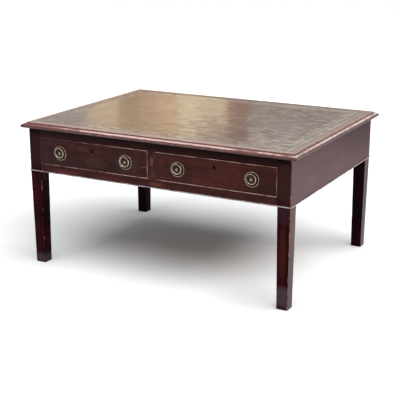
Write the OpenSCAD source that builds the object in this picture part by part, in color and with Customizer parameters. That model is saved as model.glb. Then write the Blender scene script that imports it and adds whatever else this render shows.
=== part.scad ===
// Low mahogany writing table with a leather-lined top and two frieze drawers.
// Millimetres. X runs to the right, Y to the back and Z up. The origin is on the floor, under the
// middle of the top.

/* [Table] */
// Width of the top over its moulding
table_w = 1050; // [900:5:1300]
// Depth of the top over its moulding
table_d = 790; // [700:5:1000]
// Height of the top above the floor
table_h = 520; // [440:5:780]

/* [Top] */
// Thickness of the top at its moulded edge
top_t = 19; // [17:0.5:26]
// Width of the solid edging round the leather
edging_w = 42; // [34:1:70]
// How far the rounded moulding reaches in from the outline of the top
moulding_w = 15; // [10:0.5:20]
// Depth of the step above the rounded moulding
quirk_drop = 3.8; // [1:0.1:4.5]
// Height of the upper curve of the moulding
moulding_rise = 8.5; // [7:0.5:10]
// How far the moulding turns back under its nose
under_turn = 4.5; // [2:0.5:7]
// Thickness of the leather
leather_t = 1.2; // [0.8:0.1:2]
// How far the leather lies below the edging
leather_sink = 0.3; // [0.1:0.1:0.6]
// Thickness of the tongue that joins the board to its edging
tongue_t = 6; // [4:0.5:7]
// Length of the tongue
tongue_l = 8; // [5:0.5:14]
// Overhang of the top past the legs at the ends
overhang_end = 23; // [18:1:40]
// Overhang of the top past the legs at the front and back
overhang_front = 18; // [16:1:40]

/* [Legs] */
// Width of a leg where it carries the frieze
leg_top = 46; // [42:1:60]
// Width of a leg at the floor
leg_foot = 39; // [28:1:41]

/* [Frieze] */
// Height of the frieze, from its bead to the top
frieze_h = 157; // [140:1:190]
// Height of the rail over the drawers
top_rail_h = 29; // [24:1:36]
// Height of the rail under the drawers
bottom_rail_h = 30; // [24:1:36]
// Width of the upright between the drawers
divider_w = 26; // [20:1:40]
// Thickness of the aprons at the ends and the back
apron_t = 20; // [16:1:24]
// Height of the planted bead along the foot of the frieze
bead_h = 5; // [4:0.5:6]
// How far that bead stands out
bead_out = 2.2; // [1.6:0.1:2.4]
// Thickness of the tenons
tenon_t = 10; // [8:0.5:12]
// Length of the tenons
tenon_l = 24; // [16:1:28]
// Width of the runners and kickers at the end aprons
runner_w = 42; // [36:1:60]
// Thickness of the runners under the drawers
runner_t = 20; // [14:1:22]
// Height of the guides beside the drawers
guide_h = 20; // [12:1:30]

/* [Drawers] */
// Length of a drawer from front to back
drawer_l = 560; // [450:5:620]
// Thickness of a drawer front
front_t = 20; // [18:0.5:26]
// Thickness of the drawer sides and back
side_t = 9; // [8:0.5:12]
// Height of the drawer sides
side_h = 88; // [80:1:92]
// Thickness of the drawer bottom
bottom_t = 6; // [5:0.5:8]
// Height of the drawer bottom above the lower edge of the sides
bottom_lift = 6; // [5:0.5:9]
// Depth of the grooves that hold the drawer bottom
groove_d = 4.5; // [3:0.5:5]
// Thickness of the cock bead round a drawer front
cock_t = 3; // [2:0.2:4]
// How far the cock bead stands out of the drawer front
cock_out = 1.6; // [1:0.1:2.4]
// Depth of the rebate that holds the cock bead
cock_seat = 8; // [5:0.5:8.5]
// Length of the tails in the drawer front
tail_l = 11; // [9:0.5:12]
// Gap at each side of a drawer
drawer_gap = 0.75; // [0.4:0.05:1.5]
// Gap under a drawer
drawer_lift = 0.3; // [0.2:0.1:0.6]
// Gap over a drawer front
drawer_head = 0.7; // [0.5:0.1:1.5]

/* [Handles] */
// Distance between the two handles of a drawer
handle_pitch = 268; // [200:2:320]
// Height of the handles above the rail under the drawers
handle_z = 47.5; // [40:0.5:58]
// Diameter of a handle plate
plate_d = 54; // [48:1:60]
// Height of the rim of the plate
rim_h = 3.2; // [2.8:0.1:3.4]
// Diameter of the ring, from wire middle to wire middle
ring_d = 33.5; // [30:0.5:34]
// How far the ring's middle hangs above the plate's middle
ring_rise = 2.5; // [0:0.5:3]
// Diameter of the ring's wire
wire_d = 4.8; // [4:0.1:5]
// Diameter of the domed boss
boss_d = 15; // [11:0.5:16]
// How far the boss stands out of the drawer front
boss_out = 13; // [10:0.5:14]
// Diameter of the post behind the boss
post_d = 5; // [4:0.1:6]
// Diameter of the pin that the ring hangs on
pin_d = 2.44; // [2:0.02:3]
// Distance of that pin from the drawer front
pin_out = 9.5; // [8:0.1:10.5]
// Width of the lug that carries the pin
lug_w = 4.4; // [3.6:0.1:6]

/* [Locks] */
// Width of the lock's face plates
lock_w = 66; // [60:1:80]
// Height of the lock
lock_h = 42; // [38:1:46]
// Width of the lock's case
case_w = 48; // [44:1:54]
// Depth of the lock, let into the back of the drawer front
lock_d = 9; // [8:0.5:9.5]
// Thickness of the lock's sheet brass
lock_sheet = 1.5; // [1:0.1:1.8]
// Width of the bolt
bolt_w = 16; // [10:0.5:22]
// Thickness of the bolt
bolt_t = 4; // [3:0.1:4.6]
// Travel of the bolt
bolt_travel = 7; // [4:0.5:7]
// Height of the keyhole's middle above the rail under the drawers
keyhole_z = 68; // [65:0.5:68]
// Height of the keyhole
keyhole_h = 16; // [13:0.5:17]
// Diameter of the round part of the keyhole
keyhole_d = 7; // [5:0.1:8]
// Width of the keyhole's slot
keyhole_slot = 3.8; // [2:0.1:4.5]

/* [Hidden] */

MAHOGANY = [0.25, 0.13, 0.12];
EDGE_MAHOGANY = [0.45, 0.28, 0.25];
OAK = [0.55, 0.42, 0.28];
PINE = [0.62, 0.48, 0.32];
LEATHER = [0.42, 0.38, 0.32];
BRASS = [0.55, 0.48, 0.34];
STEEL = [0.35, 0.34, 0.33];

// Working clearances
joint_fit = 0.1;
screw_fit = 0.05;
pin_fit = 0.06;
bolt_fit = 0.2;
stop_gap = 0.3;
cut = 1;

// Levels
top_z = table_h - top_t;
frieze_z = top_z - frieze_h;
opening_z = frieze_z + bottom_rail_h;
opening_h = frieze_h - top_rail_h - bottom_rail_h;
top_rail_z = opening_z + opening_h;

// Outer faces and inner faces of the legs
face_x = table_w / 2 - overhang_end;
face_y = table_d / 2 - overhang_front;
inner_x = face_x - leg_top;
inner_y = face_y - leg_top;

// Board and leather
board_w = table_w - 2 * edging_w;
board_d = table_d - 2 * edging_w;
board_t = top_t - leather_t - leather_sink;
tongue_z = top_z + (board_t - tongue_t) / 2;

// Tenons and their haunches
haunch = 12;
rail_haunch = 5;
tenon_set = (apron_t - tenon_t) / 2;
bearer_tenon = 12;

// Centre bearers, wide enough to carry both drawers
bearer_shelf = 32;
centre_w = divider_w + 2 * bearer_shelf;

// Drawers
opening_w = inner_x - divider_w / 2;
drawer_w = opening_w - 2 * drawer_gap;
drawer_x = (inner_x + divider_w / 2) / 2;
drawer_front_h = opening_h - drawer_lift - drawer_head;
back_z = bottom_lift + bottom_t;
back_drop = 4;
back_h = side_h - back_z - back_drop;
tail_slope = 1 / 6;
pin_neck = 3;
front_tails = 3;
back_tails = 2;

// Drawer stops
stop_w = 26;
stop_l = 14;
stop_h = 5;
stop_x = handle_pitch / 2 - 27;

// Glue blocks behind the back apron
block_l = 60;
block_s = 22;
block_places = [140, 340];

// Screws that hold the top
screw_r = 2.2;
screw_head_r = 4.5;
screw_head_h = 3;
screw_l = top_rail_h + 6;
screw_sink = 2;
head_room = 0.5;
tip_room = 1;
side_screw_y = inner_y - 110;
centre_screw_y = inner_y - 135;
front_screw_x = drawer_x - 105;
front_screw_y = -inner_y - 10;

// Lock
lock_top = drawer_lift + drawer_front_h;
lock_mid = front_t - lock_d / 2;
round_z = keyhole_z + (keyhole_h - keyhole_d) / 2;
bolt_top = lock_top - 0.4;
bolt_neck = bolt_top - 13;
bolt_body_h = 7;
bolt_room = 1;
bolt_body_w = 34;
talon_w = 8;
key_pin_d = 2.4;
lock_screw_r = 1.4;
lock_screw_l = 7;
lock_screw_head_r = 2.6;
lock_screw_head_h = 1;
lock_screw_x = (lock_w + case_w) / 4;
lock_screw_inset = 9;

// Handles
plate_t = 1.6;
plate_dish = 0.4;
plate_pad_h = 2.2;
plate_pad_r = 9;
plate_pad_slope = 2;
rim_r = 1.9;
lug_r = 2.4;
lug_gap = 0.4;
pin_h = ring_d / 2 + ring_rise;
boss_rim_h = 1.4;
boss_step = 1.2;
boss_step_h = 2;
nut_w = 12;
nut_t = 4;
post_end = 2;

function arc(cx, cy, rx, ry, from, to, steps) =
    [for (i = [0:steps]) let(a = from + (to - from) * i / steps) [cx + rx * cos(a), cy + ry * sin(a)]];

// A leg's place: the child is made for the back right corner and mirrored to the others
module corner(sx, sy) {
    mirror([sx < 0 ? 1 : 0, 0, 0])
        mirror([0, sy < 0 ? 1 : 0, 0])
            children();
}

// A strip along one side of the top or frieze with mitred ends. Its profile is drawn with x from
// the outer edge inwards and y up.
module mitred_strip(length, offset, width, turn) {
    rotate([0, 0, turn])
        intersection() {
            rotate([90, 0, 90])
                linear_extrude(height = length, center = true)
                    translate([-offset, 0])
                        children();
            linear_extrude(height = table_h + cut)
                polygon([[-length / 2, -offset], [length / 2, -offset],
                         [length / 2 - width, width - offset], [width - length / 2, width - offset]]);
        }
}

// Profile of the moulded edging, with the groove for the board's tongue
module edging_profile() {
    nose_z = table_h - quirk_drop - moulding_rise;
    difference() {
        polygon(concat(
            [[edging_w, top_z], [edging_w, table_h], [moulding_w, table_h]],
            arc(moulding_w, nose_z, moulding_w, moulding_rise, 90, 180, 9),
            arc(under_turn, nose_z, under_turn, nose_z - top_z, 195, 270, 5)));
        translate([edging_w - tongue_l - joint_fit, tongue_z - joint_fit])
            square([tongue_l + joint_fit + cut, tongue_t + 2 * joint_fit]);
    }
}

module top_edging(length, offset, turn) {
    color(EDGE_MAHOGANY)
        mitred_strip(length, offset, edging_w, turn)
            edging_profile();
}

module top_screw_places() {
    for (sx = [-1, 1])
        for (sy = [-1, 1])
            translate([sx * (face_x - apron_t - runner_w / 2), sy * side_screw_y, 0])
                children();
    for (sy = [-1, 1])
        translate([0, sy * centre_screw_y, 0])
            children();
    for (sx = [-1, 1])
        translate([sx * front_screw_x, front_screw_y, 0])
            children();
}

// Hole for a top screw, with a counterbore for its head, open below the rail or kicker
module top_screw_hole() {
    translate([0, 0, top_rail_z - cut])
        cylinder(h = top_rail_h + 2 * cut, r = screw_r + screw_fit, $fn = 32);
    translate([0, 0, top_rail_z - cut])
        cylinder(h = screw_sink + screw_head_h + cut, r = screw_head_r + head_room, $fn = 32);
}

module top_board() {
    color(PINE)
        difference() {
            union() {
                translate([-board_w / 2, -board_d / 2, top_z])
                    cube([board_w, board_d, board_t]);
                translate([-board_w / 2 - tongue_l, -board_d / 2 - tongue_l, tongue_z])
                    cube([board_w + 2 * tongue_l, board_d + 2 * tongue_l, tongue_t]);
            }
            top_screw_places()
                translate([0, 0, top_z - cut])
                    cylinder(h = screw_sink + screw_l - top_rail_h + tip_room + cut,
                             r = screw_r + screw_fit, $fn = 32);
        }
}

module writing_leather() {
    color(LEATHER)
        translate([joint_fit - board_w / 2, joint_fit - board_d / 2, top_z + board_t])
            cube([board_w - 2 * joint_fit, board_d - 2 * joint_fit, leather_t]);
}

// Legs
module leg_profile() {
    polygon([[-leg_foot / 2, 0], [leg_foot / 2, 0], [leg_top / 2, frieze_z],
             [leg_top / 2, top_z], [-leg_top / 2, top_z], [-leg_top / 2, frieze_z]]);
}

module tapered_leg() {
    translate([face_x - leg_top / 2, face_y - leg_top / 2, 0])
        intersection() {
            rotate([90, 0, 0])
                linear_extrude(height = leg_top, center = true)
                    leg_profile();
            rotate([90, 0, 90])
                linear_extrude(height = leg_top, center = true)
                    leg_profile();
        }
}

// Tenon of an end apron in a leg, or its mortise with a clearance
module end_tenon(fit) {
    translate([face_x - tenon_set - tenon_t - fit, inner_y - tenon_l - fit, frieze_z + haunch - fit])
        cube([tenon_t + 2 * fit, 2 * tenon_l + 2 * fit, frieze_h - 2 * haunch + 2 * fit]);
}

module back_tenon(fit) {
    translate([inner_x - tenon_l - fit, face_y - tenon_set - tenon_t - fit, frieze_z + haunch - fit])
        cube([2 * tenon_l + 2 * fit, tenon_t + 2 * fit, frieze_h - 2 * haunch + 2 * fit]);
}

// Tenon at the middle of a front rail's end, for a rail that starts at height z and is h high
module rail_tenon(z, h, fit) {
    translate([inner_x - tenon_l - fit, face_y - leg_top / 2 - tenon_t / 2 - fit, z + rail_haunch - fit])
        cube([2 * tenon_l + 2 * fit, tenon_t + 2 * fit, h - 2 * rail_haunch + 2 * fit]);
}

module front_leg(sx) {
    color(MAHOGANY)
        corner(sx, -1)
            difference() {
                tapered_leg();
                end_tenon(joint_fit);
                rail_tenon(top_rail_z, top_rail_h, joint_fit);
                rail_tenon(frieze_z, bottom_rail_h, joint_fit);
            }
}

module back_leg(sx) {
    color(MAHOGANY)
        corner(sx, 1)
            difference() {
                tapered_leg();
                end_tenon(joint_fit);
                back_tenon(joint_fit);
            }
}

// Front rails, the upright between the drawers and the aprons
module front_rail(z, h) {
    translate([-inner_x, -face_y, z])
        cube([2 * inner_x, leg_top, h]);
    for (sx = [-1, 1])
        corner(sx, -1)
            intersection() {
                rail_tenon(z, h, 0);
                translate([inner_x - cut, 0, 0])
                    cube([tenon_l + cut, table_d, table_h]);
            }
}

// Stub tenon of the upright, up or down from height z, or its mortise with a clearance
module divider_tenon(z, fit) {
    translate([-tenon_t / 2 - fit, leg_top / 2 - face_y - tenon_t - fit, z - bearer_tenon - fit])
        cube([tenon_t + 2 * fit, 2 * tenon_t + 2 * fit, 2 * bearer_tenon + 2 * fit]);
}

// Stub tenon of a centre bearer of thickness t whose top is at height z
module bearer_stub(y, z, t, fit) {
    translate([-centre_w / 4 - fit, y - bearer_tenon - fit, z - t / 2 - tenon_t / 2 - fit])
        cube([centre_w / 2 + 2 * fit, 2 * bearer_tenon + 2 * fit, tenon_t + 2 * fit]);
}

module front_top_rail() {
    color(MAHOGANY)
        difference() {
            front_rail(top_rail_z, top_rail_h);
            divider_tenon(top_rail_z, joint_fit);
            bearer_stub(-inner_y, top_z, top_rail_h, joint_fit);
            top_screw_places()
                top_screw_hole();
            for (side = [-1, 1])
                translate([side * drawer_x - bolt_w / 2 - bolt_room,
                           lock_mid - face_y - bolt_t / 2 - bolt_room, top_rail_z - cut])
                    cube([bolt_w + 2 * bolt_room, bolt_t + 2 * bolt_room, bolt_travel + bolt_room + cut]);
        }
}

module front_bottom_rail() {
    color(MAHOGANY)
        difference() {
            front_rail(frieze_z, bottom_rail_h);
            divider_tenon(opening_z, joint_fit);
            bearer_stub(-inner_y, opening_z, runner_t, joint_fit);
        }
}

module drawer_divider() {
    color(MAHOGANY) {
        translate([-divider_w / 2, -face_y, opening_z])
            cube([divider_w, leg_top, opening_h]);
        intersection() {
            union() {
                divider_tenon(opening_z, 0);
                divider_tenon(top_rail_z, 0);
            }
            translate([-divider_w / 2, -face_y, opening_z - bearer_tenon])
                cube([divider_w, leg_top, opening_h + 2 * bearer_tenon]);
        }
    }
}

module end_apron(sx) {
    color(MAHOGANY)
        corner(sx, 1) {
            translate([face_x - apron_t, -inner_y, frieze_z])
                cube([apron_t, 2 * inner_y, frieze_h]);
            for (sy = [-1, 1])
                corner(1, sy)
                    intersection() {
                        end_tenon(0);
                        translate([0, inner_y - cut, 0])
                            cube([table_w, tenon_l + cut, table_h]);
                    }
        }
}

module back_apron() {
    color(MAHOGANY)
        difference() {
            union() {
                translate([-inner_x, face_y - apron_t, frieze_z])
                    cube([2 * inner_x, apron_t, frieze_h]);
                for (sx = [-1, 1])
                    corner(sx, 1)
                        intersection() {
                            back_tenon(0);
                            translate([inner_x - cut, 0, 0])
                                cube([tenon_l + cut, table_d, table_h]);
                        }
            }
            bearer_stub(face_y - apron_t, opening_z, runner_t, joint_fit);
            bearer_stub(face_y - apron_t, top_z, top_rail_h, joint_fit);
        }
}

// Planted bead along the foot of the frieze
module frieze_bead(length, offset, turn) {
    color(EDGE_MAHOGANY)
        mitred_strip(length + 2 * bead_out, offset + bead_out, bead_out, turn)
            intersection() {
                translate([bead_h / 2, frieze_z + bead_h / 2])
                    circle(d = bead_h, $fn = 32);
                translate([0, frieze_z])
                    square([bead_out, bead_h]);
            }
}

// Runners, guides, kickers and stops inside the frieze
module side_runners() {
    color(PINE)
        for (sx = [-1, 1])
            corner(sx, 1)
                translate([face_x - apron_t - runner_w, -inner_y, opening_z - runner_t])
                    cube([runner_w, 2 * inner_y, runner_t]);
}

module side_kickers() {
    color(PINE)
        difference() {
            for (sx = [-1, 1])
                corner(sx, 1)
                    translate([face_x - apron_t - runner_w, -inner_y, top_rail_z])
                        cube([runner_w, 2 * inner_y, top_rail_h]);
            top_screw_places()
                top_screw_hole();
        }
}

// Bearer from the front rail to the back apron with a stub tenon at each end
module centre_bearer(z, t) {
    back = face_y - apron_t;
    translate([-centre_w / 2, -inner_y, z - t])
        cube([centre_w, inner_y + back, t]);
    translate([-centre_w / 4, -inner_y - bearer_tenon, z - t / 2 - tenon_t / 2])
        cube([centre_w / 2, inner_y + back + 2 * bearer_tenon, tenon_t]);
}

module centre_runner() {
    color(PINE)
        centre_bearer(opening_z, runner_t);
}

module centre_kicker() {
    color(PINE)
        difference() {
            centre_bearer(top_z, top_rail_h);
            top_screw_places()
                top_screw_hole();
        }
}

module drawer_guides() {
    color(PINE) {
        for (sx = [-1, 1])
            corner(sx, 1)
                translate([inner_x, -inner_y, opening_z])
                    cube([leg_top - apron_t, 2 * inner_y, guide_h]);
        translate([-divider_w / 2, -inner_y, opening_z])
            cube([divider_w, inner_y + face_y - apron_t, guide_h]);
    }
}

module drawer_stops() {
    color(PINE)
        for (side = [-1, 1])
            for (end = [-1, 1])
                translate([side * drawer_x + end * stop_x - stop_w / 2,
                           front_t + stop_gap - face_y, opening_z])
                    cube([stop_w, stop_l, stop_h]);
}

module glue_blocks() {
    color(PINE)
        for (sx = [-1, 1])
            for (place = block_places)
                translate([sx * place - block_l / 2, face_y - apron_t - block_s, top_z - block_s])
                    cube([block_l, block_s, block_s]);
}

module top_screws() {
    color(STEEL)
        top_screw_places()
            translate([0, 0, top_rail_z + screw_sink]) {
                cylinder(h = screw_l, r = screw_r, $fn = 32);
                cylinder(h = screw_head_h, r = screw_head_r, $fn = 32);
            }
}

// Drawers. Each part is drawn with x from the middle of its drawer, y from its face and z from
// the rail below it.
module at_drawer(side) {
    translate([side * drawer_x, -face_y, opening_z])
        children();
}

// Corners of the dovetails on a drawer side, between heights z0 and z0 + h, from low to high.
// Each tail is narrow at y = root and wide at y = tip.
function tails(root, tip, z0, h, count) = let(
    pitch = h / count,
    wide = (pitch - pin_neck) / 2,
    narrow = wide - abs(tip - root) * tail_slope)
    [for (i = [0:count - 1]) let(mid = z0 + (i + 0.5) * pitch)
        [[root, mid - narrow], [tip, mid - wide], [tip, mid + wide], [root, mid + narrow]]];

front_corners = tails(front_t, front_t - tail_l, drawer_lift, side_h - drawer_lift, front_tails);
back_corners = tails(drawer_l - side_t, drawer_l, back_z, back_h, back_tails);

function joined(lists) = [for (l = lists) each l];

function reversed(l) = [for (i = [len(l) - 1:-1:0]) l[i]];

// Sockets for such tails, cut from y = past
module sockets(corners, past) {
    for (c = corners)
        polygon([[past, c[0][1]], c[0], c[1], c[2], c[3], [past, c[3][1]]]);
}

// A plate as thick as a drawer side, in the place of the side at one end
module side_plate(end) {
    translate([end * (drawer_w - side_t) / 2, 0, 0])
        rotate([90, 0, 90])
            linear_extrude(height = side_t, center = true)
                children();
}

module keyhole(depth) {
    translate([0, -cut, round_z])
        rotate([-90, 0, 0])
            cylinder(h = depth + cut, d = keyhole_d, $fn = 32);
    translate([-keyhole_slot / 2, -cut, keyhole_z - keyhole_h / 2])
        cube([keyhole_slot, depth + cut, keyhole_h - keyhole_d / 2]);
}

module handle_places() {
    for (end = [-1, 1])
        translate([end * handle_pitch / 2, 0, handle_z])
            children();
}

// Room for the lock in the back of a drawer front
module lock_recess() {
    fit = joint_fit;
    translate([-case_w / 2 - fit, front_t - lock_d - fit, lock_top - lock_h - fit])
        cube([case_w + 2 * fit, lock_d + fit + cut, lock_h + fit + cut]);
    translate([-lock_w / 2 - fit, front_t - lock_sheet, lock_top - lock_h - fit])
        cube([lock_w + 2 * fit, lock_sheet + cut, lock_h + fit + cut]);
    translate([-lock_w / 2 - fit, front_t - lock_d - fit, lock_top - lock_sheet])
        cube([lock_w + 2 * fit, lock_d + fit + cut, lock_sheet + cut]);
    lock_screw_places()
        cylinder(h = lock_screw_l + tip_room, r = lock_screw_r + screw_fit, $fn = 24);
}

// Places of the lock screws, with z pointing into the wood
module lock_screw_places() {
    for (sx = [-1, 1])
        for (z = [lock_screw_inset, lock_h - lock_screw_inset])
            translate([sx * lock_screw_x, front_t, lock_top - lock_h + z])
                rotate([90, 0, 0])
                    children();
}

module drawer_front(side) {
    color(MAHOGANY)
        at_drawer(side)
            difference() {
                union() {
                    translate([-drawer_w / 2, cock_seat, drawer_lift])
                        cube([drawer_w, front_t - cock_seat, drawer_front_h]);
                    translate([cock_t - drawer_w / 2, 0, drawer_lift + cock_t])
                        cube([drawer_w - 2 * cock_t, cock_seat + cut, drawer_front_h - 2 * cock_t]);
                }
                for (end = [-1, 1])
                    side_plate(end)
                        sockets(front_corners, front_t + cut);
                translate([-drawer_w / 2 + side_t - groove_d, front_t - groove_d, bottom_lift - joint_fit])
                    cube([drawer_w - 2 * side_t + 2 * groove_d, groove_d + cut, bottom_t + 2 * joint_fit]);
                lock_recess();
                keyhole(front_t);
                handle_places()
                    translate([0, -cut, 0])
                        rotate([-90, 0, 0])
                            cylinder(h = front_t + 2 * cut, d = post_d + 2 * screw_fit, $fn = 32);
            }
}

module drawer_side(side, end) {
    color(OAK)
        at_drawer(side)
            difference() {
                side_plate(end)
                    polygon(concat([[front_t, drawer_lift]], joined(front_corners),
                        [[front_t, side_h], [drawer_l - side_t, side_h]], reversed(joined(back_corners)),
                        [[drawer_l - side_t, back_z], [drawer_l, back_z], [drawer_l, drawer_lift]]));
                translate([end * (drawer_w / 2 - side_t), front_t - groove_d, bottom_lift - joint_fit])
                    mirror([end < 0 ? 1 : 0, 0, 0])
                        translate([-cut, 0, 0])
                            cube([groove_d + cut, drawer_l, bottom_t + 2 * joint_fit]);
            }
}

module drawer_back(side) {
    color(OAK)
        at_drawer(side)
            difference() {
                translate([-drawer_w / 2, drawer_l - side_t, back_z])
                    cube([drawer_w, side_t, back_h]);
                for (end = [-1, 1])
                    side_plate(end)
                        sockets(back_corners, drawer_l - side_t - cut);
            }
}

module drawer_bottom(side) {
    panel_w = drawer_w - 2 * side_t + 2 * (groove_d - joint_fit);
    color(OAK)
        at_drawer(side)
            translate([-panel_w / 2, front_t - groove_d + joint_fit, bottom_lift])
                cube([panel_w, drawer_l - front_t + groove_d - joint_fit, bottom_t]);
}

// Four mitred strips in the rebate round a drawer front, with rounded noses
module cock_bead(side) {
    module strip(length, turn) {
        span = cock_seat + cock_out;
        rotate([0, turn, 0])
            intersection() {
                rotate([90, 0, 90])
                    linear_extrude(height = length, center = true) {
                        translate([cock_t / 2 - cock_out, 0])
                            square([span - cock_t / 2, cock_t]);
                        translate([cock_t / 2 - cock_out, cock_t / 2])
                            circle(d = cock_t, $fn = 24);
                    }
                rotate([90, 0, 0])
                    translate([0, 0, -cock_seat - cut])
                        linear_extrude(height = span + 2 * cut)
                            polygon([[-length / 2, 0], [length / 2, 0],
                                     [length / 2 - cock_t, cock_t], [cock_t - length / 2, cock_t]]);
            }
    }
    color(EDGE_MAHOGANY)
        at_drawer(side)
            translate([0, 0, drawer_lift]) {
                strip(drawer_w, 0);
                translate([0, 0, drawer_front_h])
                    strip(drawer_w, 180);
                translate([-drawer_w / 2, 0, drawer_front_h / 2])
                    strip(drawer_front_h, 90);
                translate([drawer_w / 2, 0, drawer_front_h / 2])
                    strip(drawer_front_h, -90);
            }
}

// Lock: a sheet case with face plates at the back and the top, and a key pin
module lock_case(side) {
    inside = lock_d - 2 * lock_sheet;
    color(BRASS)
        at_drawer(side)
            difference() {
                union() {
                    difference() {
                        translate([-case_w / 2, front_t - lock_d, lock_top - lock_h])
                            cube([case_w, lock_d, lock_h]);
                        translate([lock_sheet - case_w / 2, front_t - lock_d + lock_sheet,
                                   lock_top - lock_h + lock_sheet])
                            cube([case_w - 2 * lock_sheet, inside, lock_h - 2 * lock_sheet]);
                    }
                    translate([-lock_w / 2, front_t - lock_sheet, lock_top - lock_h])
                        cube([lock_w, lock_sheet, lock_h]);
                    translate([-lock_w / 2, front_t - lock_d, lock_top - lock_sheet])
                        cube([lock_w, lock_d, lock_sheet]);
                    translate([0, front_t - lock_sheet / 2, round_z])
                        rotate([90, 0, 0])
                            cylinder(h = inside, d = key_pin_d, $fn = 24);
                }
                keyhole(front_t - lock_d + lock_sheet + cut);
                translate([-bolt_w / 2 - bolt_fit, lock_mid - bolt_t / 2 - bolt_fit,
                           lock_top - 2 * lock_sheet])
                    cube([bolt_w + 2 * bolt_fit, bolt_t + 2 * bolt_fit, 3 * lock_sheet]);
                lock_screw_places()
                    translate([0, 0, -cut])
                        cylinder(h = lock_sheet + 2 * cut, r = lock_screw_r + screw_fit, $fn = 24);
            }
}

module lock_screws(side) {
    color(STEEL)
        at_drawer(side)
            lock_screw_places() {
                cylinder(h = lock_screw_l, r = lock_screw_r, $fn = 24);
                translate([0, 0, -lock_screw_head_h])
                    cylinder(h = lock_screw_head_h, r = lock_screw_head_r, $fn = 24);
            }
}

module lock_bolt(side) {
    color(BRASS)
        at_drawer(side)
            translate([0, lock_mid + bolt_t / 2, 0])
                rotate([90, 0, 0])
                    linear_extrude(height = bolt_t)
                        difference() {
                            union() {
                                translate([-bolt_w / 2, bolt_neck])
                                    square([bolt_w, bolt_top - bolt_neck]);
                                translate([-bolt_body_w / 2, bolt_neck - bolt_body_h])
                                    square([bolt_body_w, bolt_body_h]);
                            }
                            translate([-talon_w / 2, bolt_neck - bolt_body_h - cut])
                                square([talon_w, bolt_body_h / 2 + cut]);
                        }
}

// Handles. Each part is drawn with z pointing out of the drawer front and y down the front, and
// at_handle turns it into place.
module at_handle(side, end) {
    at_drawer(side)
        translate([end * handle_pitch / 2, 0, handle_z])
            rotate([90, 0, 0])
                children();
}

module handle_plate(side, end) {
    outer = plate_d / 2;
    rim_mid = outer - rim_r;
    color(BRASS)
        at_handle(side, end)
            difference() {
                union() {
                    rotate_extrude($fn = 96)
                        polygon(concat(
                            [[0, 0], [outer, 0], [outer, rim_h - rim_r]],
                            arc(rim_mid, rim_h - rim_r, rim_r, rim_r, 15, 165, 8),
                            [[rim_mid - rim_r, plate_t],
                             [plate_pad_r + plate_pad_slope, plate_t - plate_dish],
                             [plate_pad_r, plate_pad_h], [0, plate_pad_h]]));
                    translate([-lug_w / 2, pin_h - lug_r, plate_t / 2])
                        cube([lug_w, 2 * lug_r, pin_out - plate_t / 2]);
                    translate([-lug_w / 2, pin_h, pin_out])
                        rotate([0, 90, 0])
                            cylinder(h = lug_w, r = lug_r, $fn = 32);
                }
                translate([0, 0, -cut])
                    cylinder(h = plate_pad_h + 2 * cut, d = post_d + 2 * screw_fit, $fn = 32);
                translate([-lug_w / 2 - cut, pin_h, pin_out])
                    rotate([0, 90, 0])
                        cylinder(h = lug_w + 2 * cut, d = pin_d + 2 * pin_fit, $fn = 32);
            }
}

// Domed boss with its post, and the nut on the inside of the drawer front
module handle_post(side, end) {
    dome = boss_out - plate_pad_h;
    color(BRASS)
        at_handle(side, end) {
            rotate_extrude($fn = 64)
                polygon(concat(
                    [[0, plate_pad_h], [boss_d / 2, plate_pad_h], [boss_d / 2, plate_pad_h + boss_rim_h],
                     [boss_d / 2 - boss_step, plate_pad_h + boss_step_h]],
                    arc(0, plate_pad_h + boss_step_h, boss_d / 2 - boss_step, dome - boss_step_h,
                        8, 90, 8)));
            translate([0, 0, -front_t - nut_t - post_end])
                cylinder(h = front_t + nut_t + post_end + plate_pad_h + cut, d = post_d, $fn = 32);
            translate([0, 0, -front_t - nut_t])
                difference() {
                    translate([-nut_w / 2, -nut_w / 2, 0])
                        cube([nut_w, nut_w, nut_t]);
                    translate([0, 0, -cut])
                        cylinder(h = nut_t + 2 * cut, d = post_d + 2 * screw_fit, $fn = 32);
                }
        }
}

// Ring whose top is a straight pin in the plate's lug
module handle_ring(side, end) {
    gap = lug_w / 2 + lug_gap;
    color(BRASS)
        at_handle(side, end)
            translate([0, ring_rise, pin_out]) {
                difference() {
                    rotate_extrude($fn = 96)
                        translate([ring_d / 2, 0])
                            circle(d = wire_d, $fn = 32);
                    translate([-gap, 0, -wire_d])
                        cube([2 * gap, ring_d, 2 * wire_d]);
                }
                translate([-gap - cut, ring_d / 2, 0])
                    rotate([0, 90, 0])
                        cylinder(h = 2 * (gap + cut), d = pin_d, $fn = 32);
            }
}

top_board();
top_edging(table_w, table_d / 2, 0);  // top_edging_front
top_edging(table_w, table_d / 2, 180);  // top_edging_back
top_edging(table_d, table_w / 2, 270);  // top_edging_left
top_edging(table_d, table_w / 2, 90);  // top_edging_right
writing_leather();
front_leg(-1);  // leg_front_left
front_leg(1);  // leg_front_right
back_leg(-1);  // leg_back_left
back_leg(1);  // leg_back_right
front_top_rail();
front_bottom_rail();
drawer_divider();
end_apron(-1);  // end_apron_left
end_apron(1);  // end_apron_right
back_apron();
frieze_bead(2 * face_x, face_y, 0);  // frieze_bead_front
frieze_bead(2 * face_x, face_y, 180);  // frieze_bead_back
frieze_bead(2 * face_y, face_x, 270);  // frieze_bead_left
frieze_bead(2 * face_y, face_x, 90);  // frieze_bead_right
side_runners();
centre_runner();
drawer_guides();
side_kickers();
centre_kicker();
drawer_stops();
glue_blocks();
top_screws();
drawer_front(-1);  // left_drawer_front
drawer_side(-1, -1);  // left_drawer_outer_side
drawer_side(-1, 1);  // left_drawer_inner_side
drawer_back(-1);  // left_drawer_back
drawer_bottom(-1);  // left_drawer_bottom
cock_bead(-1);  // left_cock_bead
lock_case(-1);  // left_lock_case
lock_screws(-1);  // left_lock_screws
lock_bolt(-1);  // left_lock_bolt
handle_plate(-1, -1);  // left_outer_handle_plate
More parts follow.
